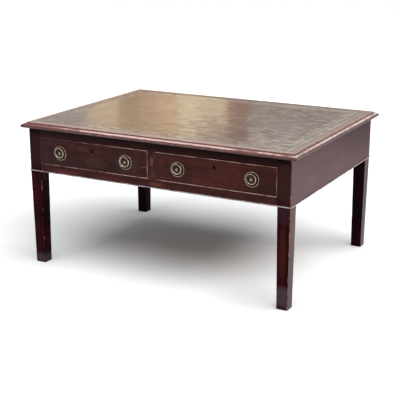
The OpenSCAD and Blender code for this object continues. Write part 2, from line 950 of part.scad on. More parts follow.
handle_post(-1, -1);  // left_outer_handle_post
handle_ring(-1, -1);  // left_outer_handle_ring
handle_plate(-1, 1);  // left_inner_handle_plate
handle_post(-1, 1);  // left_inner_handle_post
handle_ring(-1, 1);  // left_inner_handle_ring
drawer_front(1);  // right_drawer_front
drawer_side(1, 1);  // right_drawer_outer_side
drawer_side(1, -1);  // right_drawer_inner_side
drawer_back(1);  // right_drawer_back
drawer_bottom(1);  // right_drawer_bottom
cock_bead(1);  // right_cock_bead
lock_case(1);  // right_lock_case
lock_screws(1);  // right_lock_screws
lock_bolt(1);  // right_lock_bolt
handle_plate(1, 1);  // right_outer_handle_plate
handle_post(1, 1);  // right_outer_handle_post
handle_ring(1, 1);  // right_outer_handle_ring
handle_plate(1, -1);  // right_inner_handle_plate
handle_post(1, -1);  // right_inner_handle_post
handle_ring(1, -1);  // right_inner_handle_ring
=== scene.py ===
from itertools import product
from math import asin, cos, pi, radians, sin

import bmesh
import bpy
from mathutils import Matrix, Vector, noise


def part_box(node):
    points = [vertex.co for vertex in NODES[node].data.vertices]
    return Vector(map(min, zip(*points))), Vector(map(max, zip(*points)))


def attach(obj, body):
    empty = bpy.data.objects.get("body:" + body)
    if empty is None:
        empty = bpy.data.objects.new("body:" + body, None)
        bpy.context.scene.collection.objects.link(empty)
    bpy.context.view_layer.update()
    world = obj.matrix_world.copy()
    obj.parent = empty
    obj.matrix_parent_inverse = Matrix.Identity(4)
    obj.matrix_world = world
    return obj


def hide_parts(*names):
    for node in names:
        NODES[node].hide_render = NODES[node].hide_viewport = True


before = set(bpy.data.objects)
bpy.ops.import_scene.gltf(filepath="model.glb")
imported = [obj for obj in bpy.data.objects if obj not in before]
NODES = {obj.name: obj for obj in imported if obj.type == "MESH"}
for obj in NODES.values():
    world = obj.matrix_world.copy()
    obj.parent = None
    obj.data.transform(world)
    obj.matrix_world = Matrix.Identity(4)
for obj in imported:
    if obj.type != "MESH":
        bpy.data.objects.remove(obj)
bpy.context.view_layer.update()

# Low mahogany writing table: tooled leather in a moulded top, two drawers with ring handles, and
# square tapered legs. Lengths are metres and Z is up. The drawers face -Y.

MM = 0.001


def srgb(red, green, blue):
    """A colour from display values of 0 to 255."""
    def linear(value):
        value /= 255
        return value / 12.92 if value <= 0.04045 else ((value + 0.055) / 1.055) ** 2.4
    return (linear(red), linear(green), linear(blue), 1.0)


# Sizes taken from the frame
leg_low, leg_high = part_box("leg_front_right")
top_low, top_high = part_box("top_edging_front")
leather_low, leather_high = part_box("writing_leather")
rail_low, rail_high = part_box("front_bottom_rail")
top_rail_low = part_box("front_top_rail")[0]
bead_low, bead_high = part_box("frieze_bead_front")
divider_low, divider_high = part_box("drawer_divider")
TABLE_W = top_high.x - top_low.x
TABLE_D = -2 * top_low.y
TABLE_H = top_high.z
TOP_Z = top_low.z
FACE_X = leg_high.x
FACE_Y = -leg_low.y
LEG_TOP = leg_high.x - leg_low.x
LEG_FOOT = 39 * MM
FRIEZE_Z = rail_low.z
OPENING_Z = rail_high.z
RAIL_Z = top_rail_low.z
INNER_X = FACE_X - LEG_TOP
INNER_Y = FACE_Y - LEG_TOP
DIVIDER_W = divider_high.x - divider_low.x
APRON_T = 20 * MM
EDGING_W = 42 * MM
MOULDING_W = 15 * MM
STEP = 3.8 * MM


# Shader maths

def shader_maths(operation, swapped=False):
    """A method of a value that adds a Math node to its finish."""
    def method(self, *others):
        terms = (*others, self) if swapped else (self, *others)
        return self.finish.node("ShaderNodeMath", {"operation": operation}, dict(enumerate(terms)))
    return method


class Value:
    """A number that varies over a surface."""

    def __init__(self, finish, socket):
        self.finish = finish
        self.socket = socket

    __add__ = __radd__ = shader_maths("ADD")
    __sub__ = shader_maths("SUBTRACT")
    __rsub__ = shader_maths("SUBTRACT", swapped=True)
    __mul__ = __rmul__ = shader_maths("MULTIPLY")
    __truediv__ = shader_maths("DIVIDE")
    __lt__ = shader_maths("LESS_THAN")
    power = shader_maths("POWER")
    size = shader_maths("ABSOLUTE")
    sine = shader_maths("SINE")
    least = shader_maths("MINIMUM")
    most = shader_maths("MAXIMUM")

    def between(self, low, high):
        """0 below low and 1 above high, with a soft step between them."""
        return self.finish.node(
            "ShaderNodeMapRange", {"interpolation_type": "SMOOTHSTEP"},
            {"Value": self, "From Min": low, "From Max": high})


class Finish:
    """A procedural material or world, with the one method that adds its nodes."""

    def __init__(self, name, constants, world=False):
        self.made = bpy.data.worlds.new(name) if world else bpy.data.materials.new(name)
        self.made.use_nodes = True
        self.tree = self.made.node_tree
        self.shader = self.tree.nodes["Background" if world else "Principled BSDF"]
        for socket, value in constants.items():
            self.shader.inputs[socket].default_value = value

    def node(self, kind, settings, sockets, output=0):
        made = self.tree.nodes.new(kind)
        for name, value in settings.items():
            setattr(made, name, value)
        for name, value in sockets.items():
            if isinstance(value, Value):
                self.tree.links.new(value.socket, made.inputs[name])
            else:
                made.inputs[name].default_value = value
        return Value(self, made.outputs[output])

    def feed(self, **sockets):
        """Links values to sockets of the shader, such as Base_Color."""
        for name, value in sockets.items():
            self.tree.links.new(value.socket, self.shader.inputs[name.replace("_", " ")])

    def place(self, stretch=(1, 1, 1), shift=(0, 0, 0)):
        """The object's own coordinates, moved and stretched."""
        here = self.node("ShaderNodeTexCoord", {}, {}, "Object")
        moved = self.node("ShaderNodeVectorMath", {"operation": "ADD"}, {0: here, 1: shift})
        return self.node("ShaderNodeVectorMath", {"operation": "MULTIPLY"}, {0: moved, 1: stretch})

    def cloud(self, vector, scale, detail=3, roughness=0.55, distortion=0.0):
        return self.node(
            "ShaderNodeTexNoise", {},
            {"Vector": vector, "Scale": scale, "Detail": detail, "Roughness": roughness,
             "Distortion": distortion})

    def mix(self, share, first, second):
        return self.node("ShaderNodeMix", {"data_type": "RGBA"}, {0: share, 6: first, 7: second}, 2)

    def layers(self, colour, *tones):
        """A colour with others laid over it, each given as its share and its tone."""
        for share, tone in tones:
            colour = self.mix(share, colour, tone)
        return colour

    def along(self, vector, index):
        """One coordinate of a place: 0, 1 or 2 for x, y or z."""
        split = self.node("ShaderNodeSeparateXYZ", {}, {0: vector})
        return Value(self, split.socket.node.outputs[index])

    def near(self, centre, radii):
        """1 inside an egg-shaped spot and 0 outside it, with a ragged edge."""
        offset = self.place([1 / (r * MM) for r in radii], [-c * MM for c in centre])
        reach = self.node("ShaderNodeVectorMath", {"operation": "LENGTH"}, {0: offset}, "Value")
        ragged = (self.cloud(self.place(), 160, 3, 0.6) - 0.5) * 0.6
        return (reach + ragged).between(1.0, 0.5)

    def rays(self):
        """1 for the camera's rays, for mirrored ones and for those that pass through."""
        path = self.tree.nodes.new("ShaderNodeLightPath")
        return [Value(self, path.outputs["Is %s Ray" % k]) for k in ("Camera", "Glossy", "Transmission")]

    def attribute(self, name):
        return self.node("ShaderNodeAttribute", {"attribute_name": name}, {}, "Fac")

    def bump(self, height, distance):
        self.feed(Normal=self.node("ShaderNodeBump", {}, {"Height": height, "Distance": distance}))


def stretched(along, factor):
    """Coordinates drawn out along the grain."""
    return tuple(factor if axis == along else 1.0 for axis in "xyz")


def darker(colour, share):
    return tuple(c * share for c in colour[:3]) + (1.0,)


def wood_finish(name, along, tones, rub, seed, gloss=0.4, coat=0.0, coat_gloss=0.2, level=0.5,
                patches=0.5, chips=(0.35, 0.9), spots=(), top_shade=None, flat=None):
    """Wood with its figure, streaks and pores along one axis, and its arrises rubbed lighter.
    tones are the dark, middle and light colours, and rub is the colour of bare, rubbed wood. chips
    says how evenly it is rubbed, spots are marks (described below), a pair of heights gives where
    painted shade under the top darkens the wood upwards, and flat the colour of a moulding's flat. An
    attribute of the moulded edging paints shade into its quirk and under its nose. Colours are
    display values."""
    dark, middle, light, rub = [srgb(*tone) for tone in (*tones, rub)]
    wood = Finish(name, {"Specular IOR Level": level, "Coat Weight": coat,
                         "Coat Roughness": coat_gloss})
    shift = (seed * 0.731, seed * 1.317, seed * 2.113)
    plain = wood.place(shift=shift)
    drawn = wood.place(stretched(along, 0.09), shift)
    long = wood.place(stretched(along, 0.03), shift)
    broad = wood.cloud(drawn, 28, 4, 0.6, 0.9)
    streaks = wood.cloud(long, 130, 5, 0.65, 0.3)
    fibres = wood.cloud(long, 900, 3, 0.6)
    pores = wood.cloud(long, 2600, 1, 0.5).between(0.60, 0.70)
    mottle = wood.cloud(plain, 14, 4, 0.6)
    grime_and_shade = wood.cloud(plain, 5.5, 3, 0.55)
    colour = wood.layers(
        wood.mix(broad.between(0.34, 0.66), dark, middle),
        (streaks.between(0.42, 0.78) * 0.55, light), (mottle.between(0.48, 0.75) * patches, light),
        (grime_and_shade.between(0.5, 0.72) * 0.55, dark), (fibres.between(0.3, 0.7) * 0.18, middle),
        (pores * 0.5, darker(dark, 0.35)))
    break_up = wood.cloud(plain, 75, 4, 0.7).between(0.42, 0.62)
    shade_black = darker(dark, 0.25)
    if flat:
        colour = wood.mix(wood.attribute("flat") * (0.75 + mottle * 0.3), colour, srgb(*flat))
        chipped = wood.cloud(wood.place(stretched(along, 0.4), shift), 210, 3, 0.6)
        colour = wood.mix(chipped.between(0.6, 0.68) * wood.attribute("flat") * 0.7, colour, rub)
    for centre, radii, tone, strength in spots:
        colour = wood.mix(wood.near(centre, radii) * strength, colour, srgb(*tone))
    # Painted shade under the top: the wood darkens upwards between the two heights, broken up by the mottle
    if top_shade:
        high = wood.along(wood.place(), 2).between(*top_shade)
        colour = wood.mix(high * (0.55 + mottle * 0.5), colour, shade_black)
    rubbed = (wood.attribute("wear") * (chips[0] + break_up * chips[1])).between(0.3, 0.85)
    scratch = wood.cloud(wood.place(stretched(along, 0.12), shift[::-1]), 240, 2, 0.5, 1.5)
    marks = scratch.between(0.735, 0.76) * wood.cloud(plain, 9, 2).between(0.5, 0.6)
    # Rubbed arrises, then painted shade from an attribute of the moulded edging, in its quirk and under its
    # nose, then light scratches
    colour = wood.layers(
        colour, (rubbed * 0.9, rub), (wood.attribute("grime_and_shade") * (0.7 + grime_and_shade * 0.4), shade_black),
        (marks * 0.5, rub))
    wood.feed(Base_Color=colour)
    wood.feed(Roughness=gloss - 0.12 + mottle * 0.22 + rubbed * 0.08 + pores * 0.1)
    wood.bump(streaks * 0.25 + fibres * 0.12 - pores * 0.5 + mottle * 1.2 - marks * 0.4, 0.35 * MM)
    return wood.made


RUB = (176, 128, 112)
FRONT = ((50, 21, 19), (70, 29, 25), (98, 44, 37))
PURPLE = ((44, 20, 22), (60, 26, 26), (86, 42, 38))
RED = ((44, 16, 17), (60, 26, 25), (92, 42, 38))
# Tones of the rail over the drawers, darkened all over as painted shade under the top
SHADED_RAIL_TONES = ((34, 12, 13), (46, 17, 17), (66, 28, 26))
LEG = ((32, 7, 11), (44, 10, 15), (66, 20, 25))
SHEEN = ((80, 34, 38), (94, 42, 46), (114, 54, 56))
EDGE = ((84, 38, 36), (122, 64, 60), (158, 96, 88))
BEAD = ((56, 26, 25), (72, 38, 35), (96, 58, 52))
# Grey tones of the frieze bead, painted sheen over its mahogany
GREY_SHEEN_BEAD = ((84, 60, 60), (104, 80, 79), (128, 104, 102))
OAK = ((112, 82, 54), (140, 106, 72), (168, 134, 96))
PINE = ((120, 86, 54), (152, 112, 74), (182, 142, 98))
# Near-white rub of the short edgings, partly wear and partly painted highlight
PALE_RUB_AND_HIGHLIGHT = (232, 208, 194)
BEAD_RUB = (206, 164, 154)
# Near-white rub of the long frieze bead, partly wear and partly painted highlight
GREY_RUB_AND_HIGHLIGHT = (214, 204, 202)
# Pale pink rub of the long edgings, partly wear and partly painted highlight
PINK_RUB_AND_HIGHLIGHT = (240, 206, 198)
TAN = (128, 78, 44)
# Near-black of the keyhole, painted shade
KEYHOLE_SHADE = (10, 5, 5)
BRUISE = (42, 18, 16)
PIN_HOLE = (220, 180, 160)
# Heights between which painted shade under the top darkens the wood
TOP_SHADE_HEIGHTS = (TOP_Z - 26 * MM, TOP_Z - 3 * MM)
HOLE_X = sum(corner.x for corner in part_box("right_cock_bead")) / 2
HOLE_Z = OPENING_Z + 68 * MM


# Marks: a middle and radii in millimetres, a colour and a strength

def on_front(x, z, across, up, tone, strength):
    return (x, -FACE_Y / MM, z), (across, 9, up), tone, strength


def on_leg(x, y, z, across, up, tone, strength):
    return (x, y, z), (across, across, up), tone, strength


def front_marks(sx, *others):
    """Smudges round the handles, painted shade that blackens the keyhole and the wood round it, a rubbed
    spot below it, and other marks of a front.
    """
    side = "left" if sx < 0 else "right"
    found = []
    for hand in ("outer", "inner"):
        low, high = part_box("%s_%s_handle_plate" % (side, hand))
        found.append(((low + high) / 2 / MM, (44, 40, 36), (66, 50, 38), 0.32))
    x, y, z = sx * HOLE_X / MM, -FACE_Y / MM, HOLE_Z / MM
    # Painted shade: the keyhole's walls and the wood round it are painted near-black
    found.append(((x, y, z), (6.5, 40, 14), KEYHOLE_SHADE, 0.85))
    found.append(((x - 1.5, y, z - 10), (1.8, 3, 1.6), RUB, 0.9))
    return found + [on_front(*other) for other in others]


finishes = {
    "drawer_front_left": wood_finish(
        "mahogany_left_front", "x", PURPLE, RUB, 1.0, 0.42, level=0.1, spots=front_marks(
            -1, (-222, 402, 60, 22, (96, 60, 46), 0.2), (-90, 412, 60, 34, (98, 64, 52), 0.2),
            (-275, 446, 34, 12, (96, 62, 54), 0.22), (-450, 420, 60, 60, (40, 22, 24), 0.35),
            (-34, 411, 1.5, 1.5, PIN_HOLE, 1.0), (-23, 413, 1.5, 1.5, PIN_HOLE, 1.0))),
    "drawer_front_right": wood_finish(
        "mahogany_right_front", "x", FRONT, RUB, 2.0, 0.42, level=0.1, spots=front_marks(
            1, (40, 440, 18, 26, TAN, 0.1), (250, 420, 50, 26, (98, 46, 38), 0.2),
            (430, 410, 90, 60, BRUISE, 0.55))),
    # The rail over the drawers is darker all over, and darker still upwards, as painted shade under the top
    "top_rail": wood_finish("mahogany_upper_rail", "x", SHADED_RAIL_TONES, RUB, 2.5, 0.42, level=0.06, top_shade=TOP_SHADE_HEIGHTS),
    "rail": wood_finish(
        "mahogany_rails", "x", RED, RUB, 3.0, 0.42, level=0.1, patches=0.6, top_shade=TOP_SHADE_HEIGHTS, spots=[
            on_front(14, 360, 34, 9, TAN, 0.42), on_front(-350, 356, 60, 9, (104, 50, 46), 0.5),
            on_front(-160, 356, 70, 9, (90, 38, 36), 0.5)]),
    "divider": wood_finish(
        "mahogany_divider", "z", RED, (158, 96, 66), 4.0, 0.45, level=0.12, spots=[
            on_front(2, 436, 8, 22, (136, 92, 78), 0.45),
            on_front(4, 390, 7, 26, (104, 62, 46), 0.45)]),
    "leg": wood_finish(
        "mahogany_legs", "z", LEG, RUB, 5.0, 0.36, level=0.02, top_shade=TOP_SHADE_HEIGHTS, spots=[
            on_leg(-486, -377, 425, 60, 90, (50, 31, 34), 0.8),
            on_leg(486, -377, 425, 60, 90, (60, 37, 38), 0.8),
            on_leg(-490, -377, 275, 14, 70, (66, 12, 22), 0.5),
            # Painted shade on the inner faces of the front left leg under the table, and a painted grey
            # sheen high on them
            on_leg(-462, -355, 190, 40, 70, (20, 3, 6), 0.6),
            on_leg(-456, -360, 335, 12, 30, (62, 54, 58), 0.6),
            # Painted reflection of the floor: the foot of the front left leg is grey
            on_leg(-478, -360, 4, 60, 42, (84, 76, 78), 0.55),
            on_leg(478, -377, 190, 16, 120, (84, 36, 30), 0.45),
            # Painted reflection of the floor: the foot of the front right leg is grey
            on_leg(480, -377, 44, 40, 46, (96, 82, 90), 0.5),
            on_leg(480, -377, 320, 40, 40, (62, 44, 48), 0.45),
            # Painted shade under the table: the back right leg darker, the back left one near-black
            on_leg(479, 335, 230, 50, 260, (16, 8, 14), 0.75),
            on_leg(-480, 377, 150, 70, 400, (5, 2, 3), 0.92)]),
    "leg_end": wood_finish(
        "mahogany_leg_ends", "z", SHEEN, RUB, 6.0, 0.38, 0.1, 0.25, level=0.36, spots=[
            # Painted shade: the end face of the back right leg is darkened, and that of the front right leg
            # towards its foot
            on_leg(502, 377, 170, 60, 220, (22, 14, 21), 0.9),
            on_leg(502, -377, 100, 60, 170, (44, 26, 31), 0.7)]),
    "apron": wood_finish(
        "mahogany_end_aprons", "y", SHEEN, RUB, 7.0, 0.38, 0.1, 0.25, level=0.36, spots=[
            # Painted shade: the end aprons are darkened towards the top and the back
            ((sx * FACE_X / MM, 400, 470), (30, 420, 110), (62, 26, 30), 0.6) for sx in (-1, 1)]),
    "back": wood_finish("mahogany_back_apron", "x", SHEEN, RUB, 8.0, 0.45, level=0.2, top_shade=TOP_SHADE_HEIGHTS),
    # The edgings' near-white rub on the shoulder of the moulding is partly wear and partly painted highlight
    "edging_x": wood_finish(
        "mahogany_edging_long", "x", EDGE, PINK_RUB_AND_HIGHLIGHT, 9.0, 0.36, 0.2, 0.16, level=0.4,
        flat=(166, 142, 133), chips=(0.8, 0.3), spots=[
            ((0, TABLE_D / 2 / MM, TABLE_H / MM), (800, 60, 60), (84, 60, 50), 0.6)]),
    "edging_y": wood_finish(
        "mahogany_edging_short", "y", EDGE, PALE_RUB_AND_HIGHLIGHT, 10.0, 0.36, 0.2, 0.16, level=0.4,
        flat=(136, 118, 106), chips=(0.85, 0.25)),
}
# The frieze bead's grey tones and near-white rub paint sheen and highlight over its wear
for key, name, along, tones, rub, seed, chips in (
        ("bead_x", "bead_long", "x", BEAD, BEAD_RUB, 11.0, 0.8),
        ("frieze_x", "frieze_bead_long", "x", GREY_SHEEN_BEAD, GREY_RUB_AND_HIGHLIGHT, 11.5, 0.8),
        ("frieze_y", "frieze_bead_short", "y", GREY_SHEEN_BEAD, (236, 228, 228), 12.0, 0.8),
        ("bead_z", "bead_upright", "z", BEAD, BEAD_RUB, 13.0, 0.7)):
    finishes[key] = wood_finish("mahogany_" + name, along, tones, rub, seed, level=0.3, chips=(chips, 0.3))
for key, name, along, tones, seed, gloss in (
        ("oak_x", "oak_across", "x", OAK, 14.0, 0.6), ("oak_y", "oak_lengthwise", "y", OAK, 15.0, 0.6),
        ("pine_x", "pine_boards", "x", PINE, 16.0, 0.65), ("pine_y", "pine_bearers", "y", PINE, 17.0, 0.65)):
    finishes[key] = wood_finish(name, along, tones, tones[2], seed, gloss, level=0.3)


def metal_finish(name, tone, worn, hollow, gloss):
    """Old metal, bright where hands rub it, and dark where an attribute says: patina in its hollows,
    and painted shade that leaves painted highlights along crests.
    """
    metal = Finish(name, {"Metallic": 1.0})
    here = metal.place()
    spots = metal.cloud(here, 420, 4, 0.65)
    cloudy = metal.cloud(here, 90, 3, 0.6)
    deep = (metal.attribute("hollow") + spots * 0.5 - 0.25).between(0.2, 0.8)
    colour = metal.layers(metal.mix(cloudy.between(0.35, 0.65), tone, worn),
                          (spots.between(0.55, 0.75) * 0.5, hollow), (deep, hollow))
    metal.feed(Base_Color=colour, Roughness=gloss + spots * 0.18 + deep * 0.2)
    metal.bump(spots + cloudy * 0.6, 0.12 * MM)
    return metal.made


for key, name, tone, worn, hollow, gloss in (
        ("brass", "aged_brass", (158, 138, 120), (214, 196, 180), (56, 44, 32), 0.24),
        ("lock_brass", "lock_brass", (146, 120, 74), (176, 150, 98), (60, 48, 30), 0.36),
        ("steel", "dull_iron", (84, 80, 78), (112, 108, 104), (40, 30, 26), 0.45)):
    finishes[key] = metal_finish(name, srgb(*tone), srgb(*worn), srgb(*hollow), gloss)


# Making pieces

def shown(name, data):
    """A new object of the scene with this mesh, light or camera."""
    held = bpy.data.objects.new(name, data)
    bpy.context.scene.collection.objects.link(held)
    return held


def finished(name, mesh, body, node, slot, finish, angle):
    """A piece on a body, smooth but for its arrises, that stands for a CAD node."""
    mesh.materials.clear()
    mesh.materials.append(finishes[finish])
    mesh.polygons.foreach_set("use_smooth", [True] * len(mesh.polygons))
    mesh.set_sharp_from_angle(angle=radians(angle))
    piece = shown(name, mesh)
    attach(piece, body)
    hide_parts(node)
    return piece


def put(name, points, faces, body, node, slot, finish, values=None, angle=38):
    """A piece made of points and faces, with values on its points for its finish."""
    mesh = bpy.data.meshes.new(name)
    mesh.from_pydata(points, [], faces)
    for label, numbers in (values or {}).items():
        mesh.attributes.new(label, "FLOAT", "POINT").data.foreach_set("value", numbers)
    work = bmesh.new()
    work.from_mesh(mesh)
    bmesh.ops.recalc_face_normals(work, faces=work.faces)
    work.to_mesh(mesh)
    work.free()
    return finished(name, mesh, body, node, slot, finish, angle)


def rough(point, scale, seed):
    """Smooth noise from -1 to 1."""
    return noise.noise(Vector(point) * scale + Vector((seed * 7.3, seed * 3.1, seed * 5.7)))


def divisions(length, radius, step):
    """Distances along a side at which it is divided, close together at its two arrises."""
    near = (0.0, 0.35 * radius, radius, radius + 1.6 * MM, radius + 5 * MM)
    near = [d for d in near if d < 0.4 * length]
    inner = length - 2 * near[-1]
    count = max(1, round(inner / step))
    middle = [near[-1] + inner * i / count for i in range(1, count)]
    return near + middle + [length - d for d in reversed(near)]


def worn_board(name, low, high, along, body, node, slot, finish, radius=0.8 * MM, step=7 * MM,
               rub=None, depth=0.3 * MM, shape=None, seed=0):
    """A board with rounded, rubbed arrises and the slight waves that a hand plane leaves.
    rub gives how far an arris is worn at a point, and shape moves the finished points."""
    low, high = Vector(low), Vector(high)
    across = [i for i in range(3) if "xyz"[i] != along]
    marks = [divisions(high[i] - low[i], radius, 1.6 * step if i in across else step)
             for i in range(3)]
    last = [len(m) - 1 for m in marks]
    index, points, wear = {}, [], []
    for place in product(*(range(len(m)) for m in marks)):
        if not any(place[a] in (0, last[a]) for a in range(3)):
            continue
        index[place] = len(points)
        point = low + Vector(marks[a][place[a]] for a in range(3))
        core = Vector(min(max(point[a], low[a] + radius), high[a] - radius) for a in range(3))
        out = (point - core).normalized()
        reach = [min(point[a] - low[a], high[a] - point[a]) for a in across]
        near = max(0.0, 1.0 - max(0.0, max(reach) - radius) / (1.9 * MM))
        worn = near * (rub(point) if rub else 0.0)
        chip = max(0.0, rough(point, 150, seed) - 0.1) * 2.2 + 0.3 + 0.3 * rough(point, 40, seed)
        wave = 0.06 * MM * (1 + rough(point, 9, seed + 1))
        moved = core + out * (radius - wave - worn * near * chip * depth)
        points.append(shape(moved) if shape else moved)
        wear.append(min(1.0, worn * (0.65 + 0.5 * rough(point, 60, seed + 2))))
    faces = []
    for a in range(3):
        b, c = [n for n in range(3) if n != a]
        for side, m, n in product((0, last[a]), range(last[b]), range(last[c])):
            face = []
            for dm, dn in ((0, 0), (1, 0), (1, 1), (0, 1)):
                key = [0, 0, 0]
                key[a], key[b], key[c] = side, m + dm, n + dn
                face.append(index[tuple(key)])
            faces.append(face)
    return put(name, points, faces, body, node, slot, finish, {"wear": wear})


def sweep(rings):
    """Points and faces of rings of points, each a closed outline, with capped ends."""
    size = len(rings[0])
    points = [p for ring in rings for p in ring]
    faces = []
    for first in range(0, len(points) - size, size):
        for i in range(size):
            after = (i + 1) % size
            faces.append([first + i, first + after, first + size + after, first + size + i])
    return points, faces + [list(range(size)), [len(points) - size + i for i in reversed(range(size))]]


def joined(*forms):
    """Points and faces of several forms as those of one."""
    points, faces = [], []
    for more, sides in forms:
        faces += [[len(points) + i for i in face] for face in sides]
        points += more
    return points, faces


def strip(name, outline, wears, half, place, body, node, slot, finish, step=6 * MM, depth=0.25 * MM,
          gap=0.08 * MM, seed=0, more=None, rub=None):
    """A mitred length of moulding. outline is its section, as distance in from the outer edge and
    height, wears says how far each corner of it is rubbed, and place turns length, distance in and
    height into a point. more holds other values for the corners of the outline, and rub gives how
    far the strip is worn at a point."""
    size = len(outline)
    normals = []
    for i in range(size):
        before, after = outline[i - 1], outline[(i + 1) % size]
        edge = Vector((after[0] - before[0], after[1] - before[1]))
        normals.append(Vector((edge.y, -edge.x)).normalized())
    area = sum(before[0] * here[1] - here[0] * before[1]
               for before, here in zip([outline[-1]] + outline, outline))
    turn = 1 if area > 0 else -1
    rows = max(2, round(2 * half / step))
    rings, wear = [], []
    for row in range(rows + 1):
        share = 2 * row / rows - 1
        ring = []
        for (inward, height), worn, normal in zip(outline, wears, normals):
            length = share * (half - inward - gap)
            here = Vector((length, inward * 3, height * 3))
            if rub:
                worn *= rub(place(length, inward, height))
            chip = max(0.0, rough(here, 130, seed) - 0.15) * 1.8 + 0.25 + 0.25 * rough(here, 28, seed)
            cut = worn * chip * depth + 0.04 * MM * (1 + rough(here, 10, seed + 3))
            moved = Vector((inward, height)) - turn * normal * cut
            ring.append(place(length, moved.x, moved.y))
            wear.append(min(1.0, worn * (0.82 + 0.4 * rough(here, 45, seed + 4))))
        rings.append(ring)
    points, faces = sweep(rings)
    values = {"wear": wear}
    for label, numbers in (more or {}).items():
        values[label] = list(numbers) * (rows + 1)
    return put(name, points, faces, body, node, slot, finish, values, 50)


def softened(name, node, body, slot, finish, width=0.4 * MM):
    """The shape of a CAD node, with its arrises eased."""
    work = bmesh.new()
    work.from_mesh(NODES[node].data)
    bmesh.ops.remove_doubles(work, verts=work.verts, dist=0.001 * MM)
    bmesh.ops.dissolve_limit(work, angle_limit=radians(1), verts=work.verts, edges=work.edges)
    sharp = [edge for edge in work.edges
             if len(edge.link_faces) == 2 and edge.calc_face_angle(0) > radians(40)]
    bmesh.ops.bevel(work, geom=sharp, offset=width, segments=2, profile=0.5, affect="EDGES",
                    clamp_overlap=True)
    mesh = bpy.data.meshes.new(name)
    work.to_mesh(mesh)
    work.free()
    return finished(name, mesh, body, node, slot, finish, 32)


def turned(outline, count, place, ripple=None):
    """Points and faces of a turned form. outline goes from the axis out and back to the axis, as
    radius and height; ripple changes the height by its place in the outline and its turn."""
    rings = []
    for i, (radius, height) in enumerate(outline):
        ring = []
        for k in range(count):
            lift = ripple(i, k / count) if ripple else 0.0
            angle = 2 * pi * k / count
            ring.append(place(radius * cos(angle), radius * sin(angle), height + lift))
        rings.append(ring)
    return sweep(rings)


def arc(centre, radii, start, end, count):
    """Points on part of an ellipse, angles in degrees."""
    spread = [radians(start + (end - start) * i / count) for i in range(count + 1)]
    return [(centre[0] + radii[0] * cos(a), centre[1] + radii[1] * sin(a)) for a in spread]


def in_mm(*points):
    """Points of an outline, from millimetres."""
    return [(u * MM, v * MM) for u, v in points]


# Legs

def tapered(centre_x, centre_y):
    """Draws points in towards a leg's middle, more towards the floor."""
    def move(point):
        share = (LEG_FOOT + (LEG_TOP - LEG_FOOT) * min(1.0, point.z / FRIEZE_Z)) / LEG_TOP
        return Vector((centre_x + (point.x - centre_x) * share,
                       centre_y + (point.y - centre_y) * share, point.z))
    return move


for seed, (sy, sx) in enumerate(product((-1, 1), (-1, 1))):
    name = ("front" if sy < 0 else "back") + ("_left" if sx < 0 else "_right")
    x, y = sx * (FACE_X - LEG_TOP / 2), sy * (FACE_Y - LEG_TOP / 2)

    def leg_rub(point, x=x, y=y, sx=sx, sy=sy):
        outer_x = (point.x - x) * sx > 0
        outer_y = (point.y - y) * sy > 0
        if point.z > FRIEZE_Z and not (outer_x and outer_y):
            return 0.0
        corner = 1.35 if sx > 0 and point.z < 300 * MM else 1.0
        return (corner if outer_x and outer_y else 0.7) * (1.0 if sy < 0 else 0.45)

    half = LEG_TOP / 2
    leg = worn_board("table_leg_" + name, (x - half, y - half, 0), (x + half, y + half, TOP_Z), "z",
                     "frame", "leg_" + name, "mahogany", "leg", radius=1.3 * MM, step=4.5 * MM,
                     rub=leg_rub, depth=0.7 * MM, shape=tapered(x, y), seed=seed)
    # The faces at the table's ends and back are the paler ones
    leg.data.materials.append(finishes["leg_end"])
    for face in leg.data.polygons:
        if face.normal.x * sx > 0.7 or (sy > 0 and face.normal.y > 0.7):
            face.material_index = 1

# Frieze
worn_board("rail_under_drawers", (-INNER_X, -FACE_Y, FRIEZE_Z), (INNER_X, -INNER_Y, OPENING_Z), "x",
           "frame", "front_bottom_rail", "mahogany", "rail", seed=11,
           rub=lambda point: 0.35 if point.z < (FRIEZE_Z + OPENING_Z) / 2 else 0.6)
softened("rail_over_drawers", "front_top_rail", "frame", "mahogany", "top_rail", 0.5 * MM)
worn_board("divider_post", (-DIVIDER_W / 2, -FACE_Y, OPENING_Z), (DIVIDER_W / 2, -INNER_Y, RAIL_Z), "z",
           "frame", "drawer_divider", "mahogany", "divider", rub=lambda point: 0.8, seed=13)
for seed, (name, sx) in enumerate((("left", -1), ("right", 1))):
    xs = sorted((sx * FACE_X, sx * (FACE_X - APRON_T)))
    worn_board("end_frieze_" + name, (xs[0], -INNER_Y - 1.2 * MM, FRIEZE_Z),
               (xs[1], INNER_Y + 0.3 * MM, TOP_Z), "y", "frame", "end_apron_" + name, "mahogany",
               "apron", radius=0.2 * MM, seed=15 + seed)
worn_board("back_frieze", (-INNER_X + 0.1 * MM, FACE_Y - APRON_T, FRIEZE_Z),
           (INNER_X - 0.1 * MM, FACE_Y, TOP_Z), "x", "frame", "back_apron", "mahogany", "back",
           seed=18)


def side_place(reach, turn):
    """Places a strip along one side of the table: turn counts quarter turns from the front."""
    spin = Matrix.Rotation(pi / 2 * turn, 4, "Z")
    return lambda length, inward, height: spin @ Vector((length, inward - reach, height))


SIDES = ("front", "right", "back", "left")
BEAD_H = bead_high.z - bead_low.z
BEAD_OUT = -FACE_Y - bead_low.y
bead_outline = ([(BEAD_OUT, FRIEZE_Z)]
                + arc((BEAD_H / 2, FRIEZE_Z + BEAD_H / 2), (BEAD_H / 2, BEAD_H / 2), 262, 98, 10)
                + [(BEAD_OUT, FRIEZE_Z + BEAD_H)])
bead_outline = [(min(u, BEAD_OUT), z) for u, z in bead_outline]
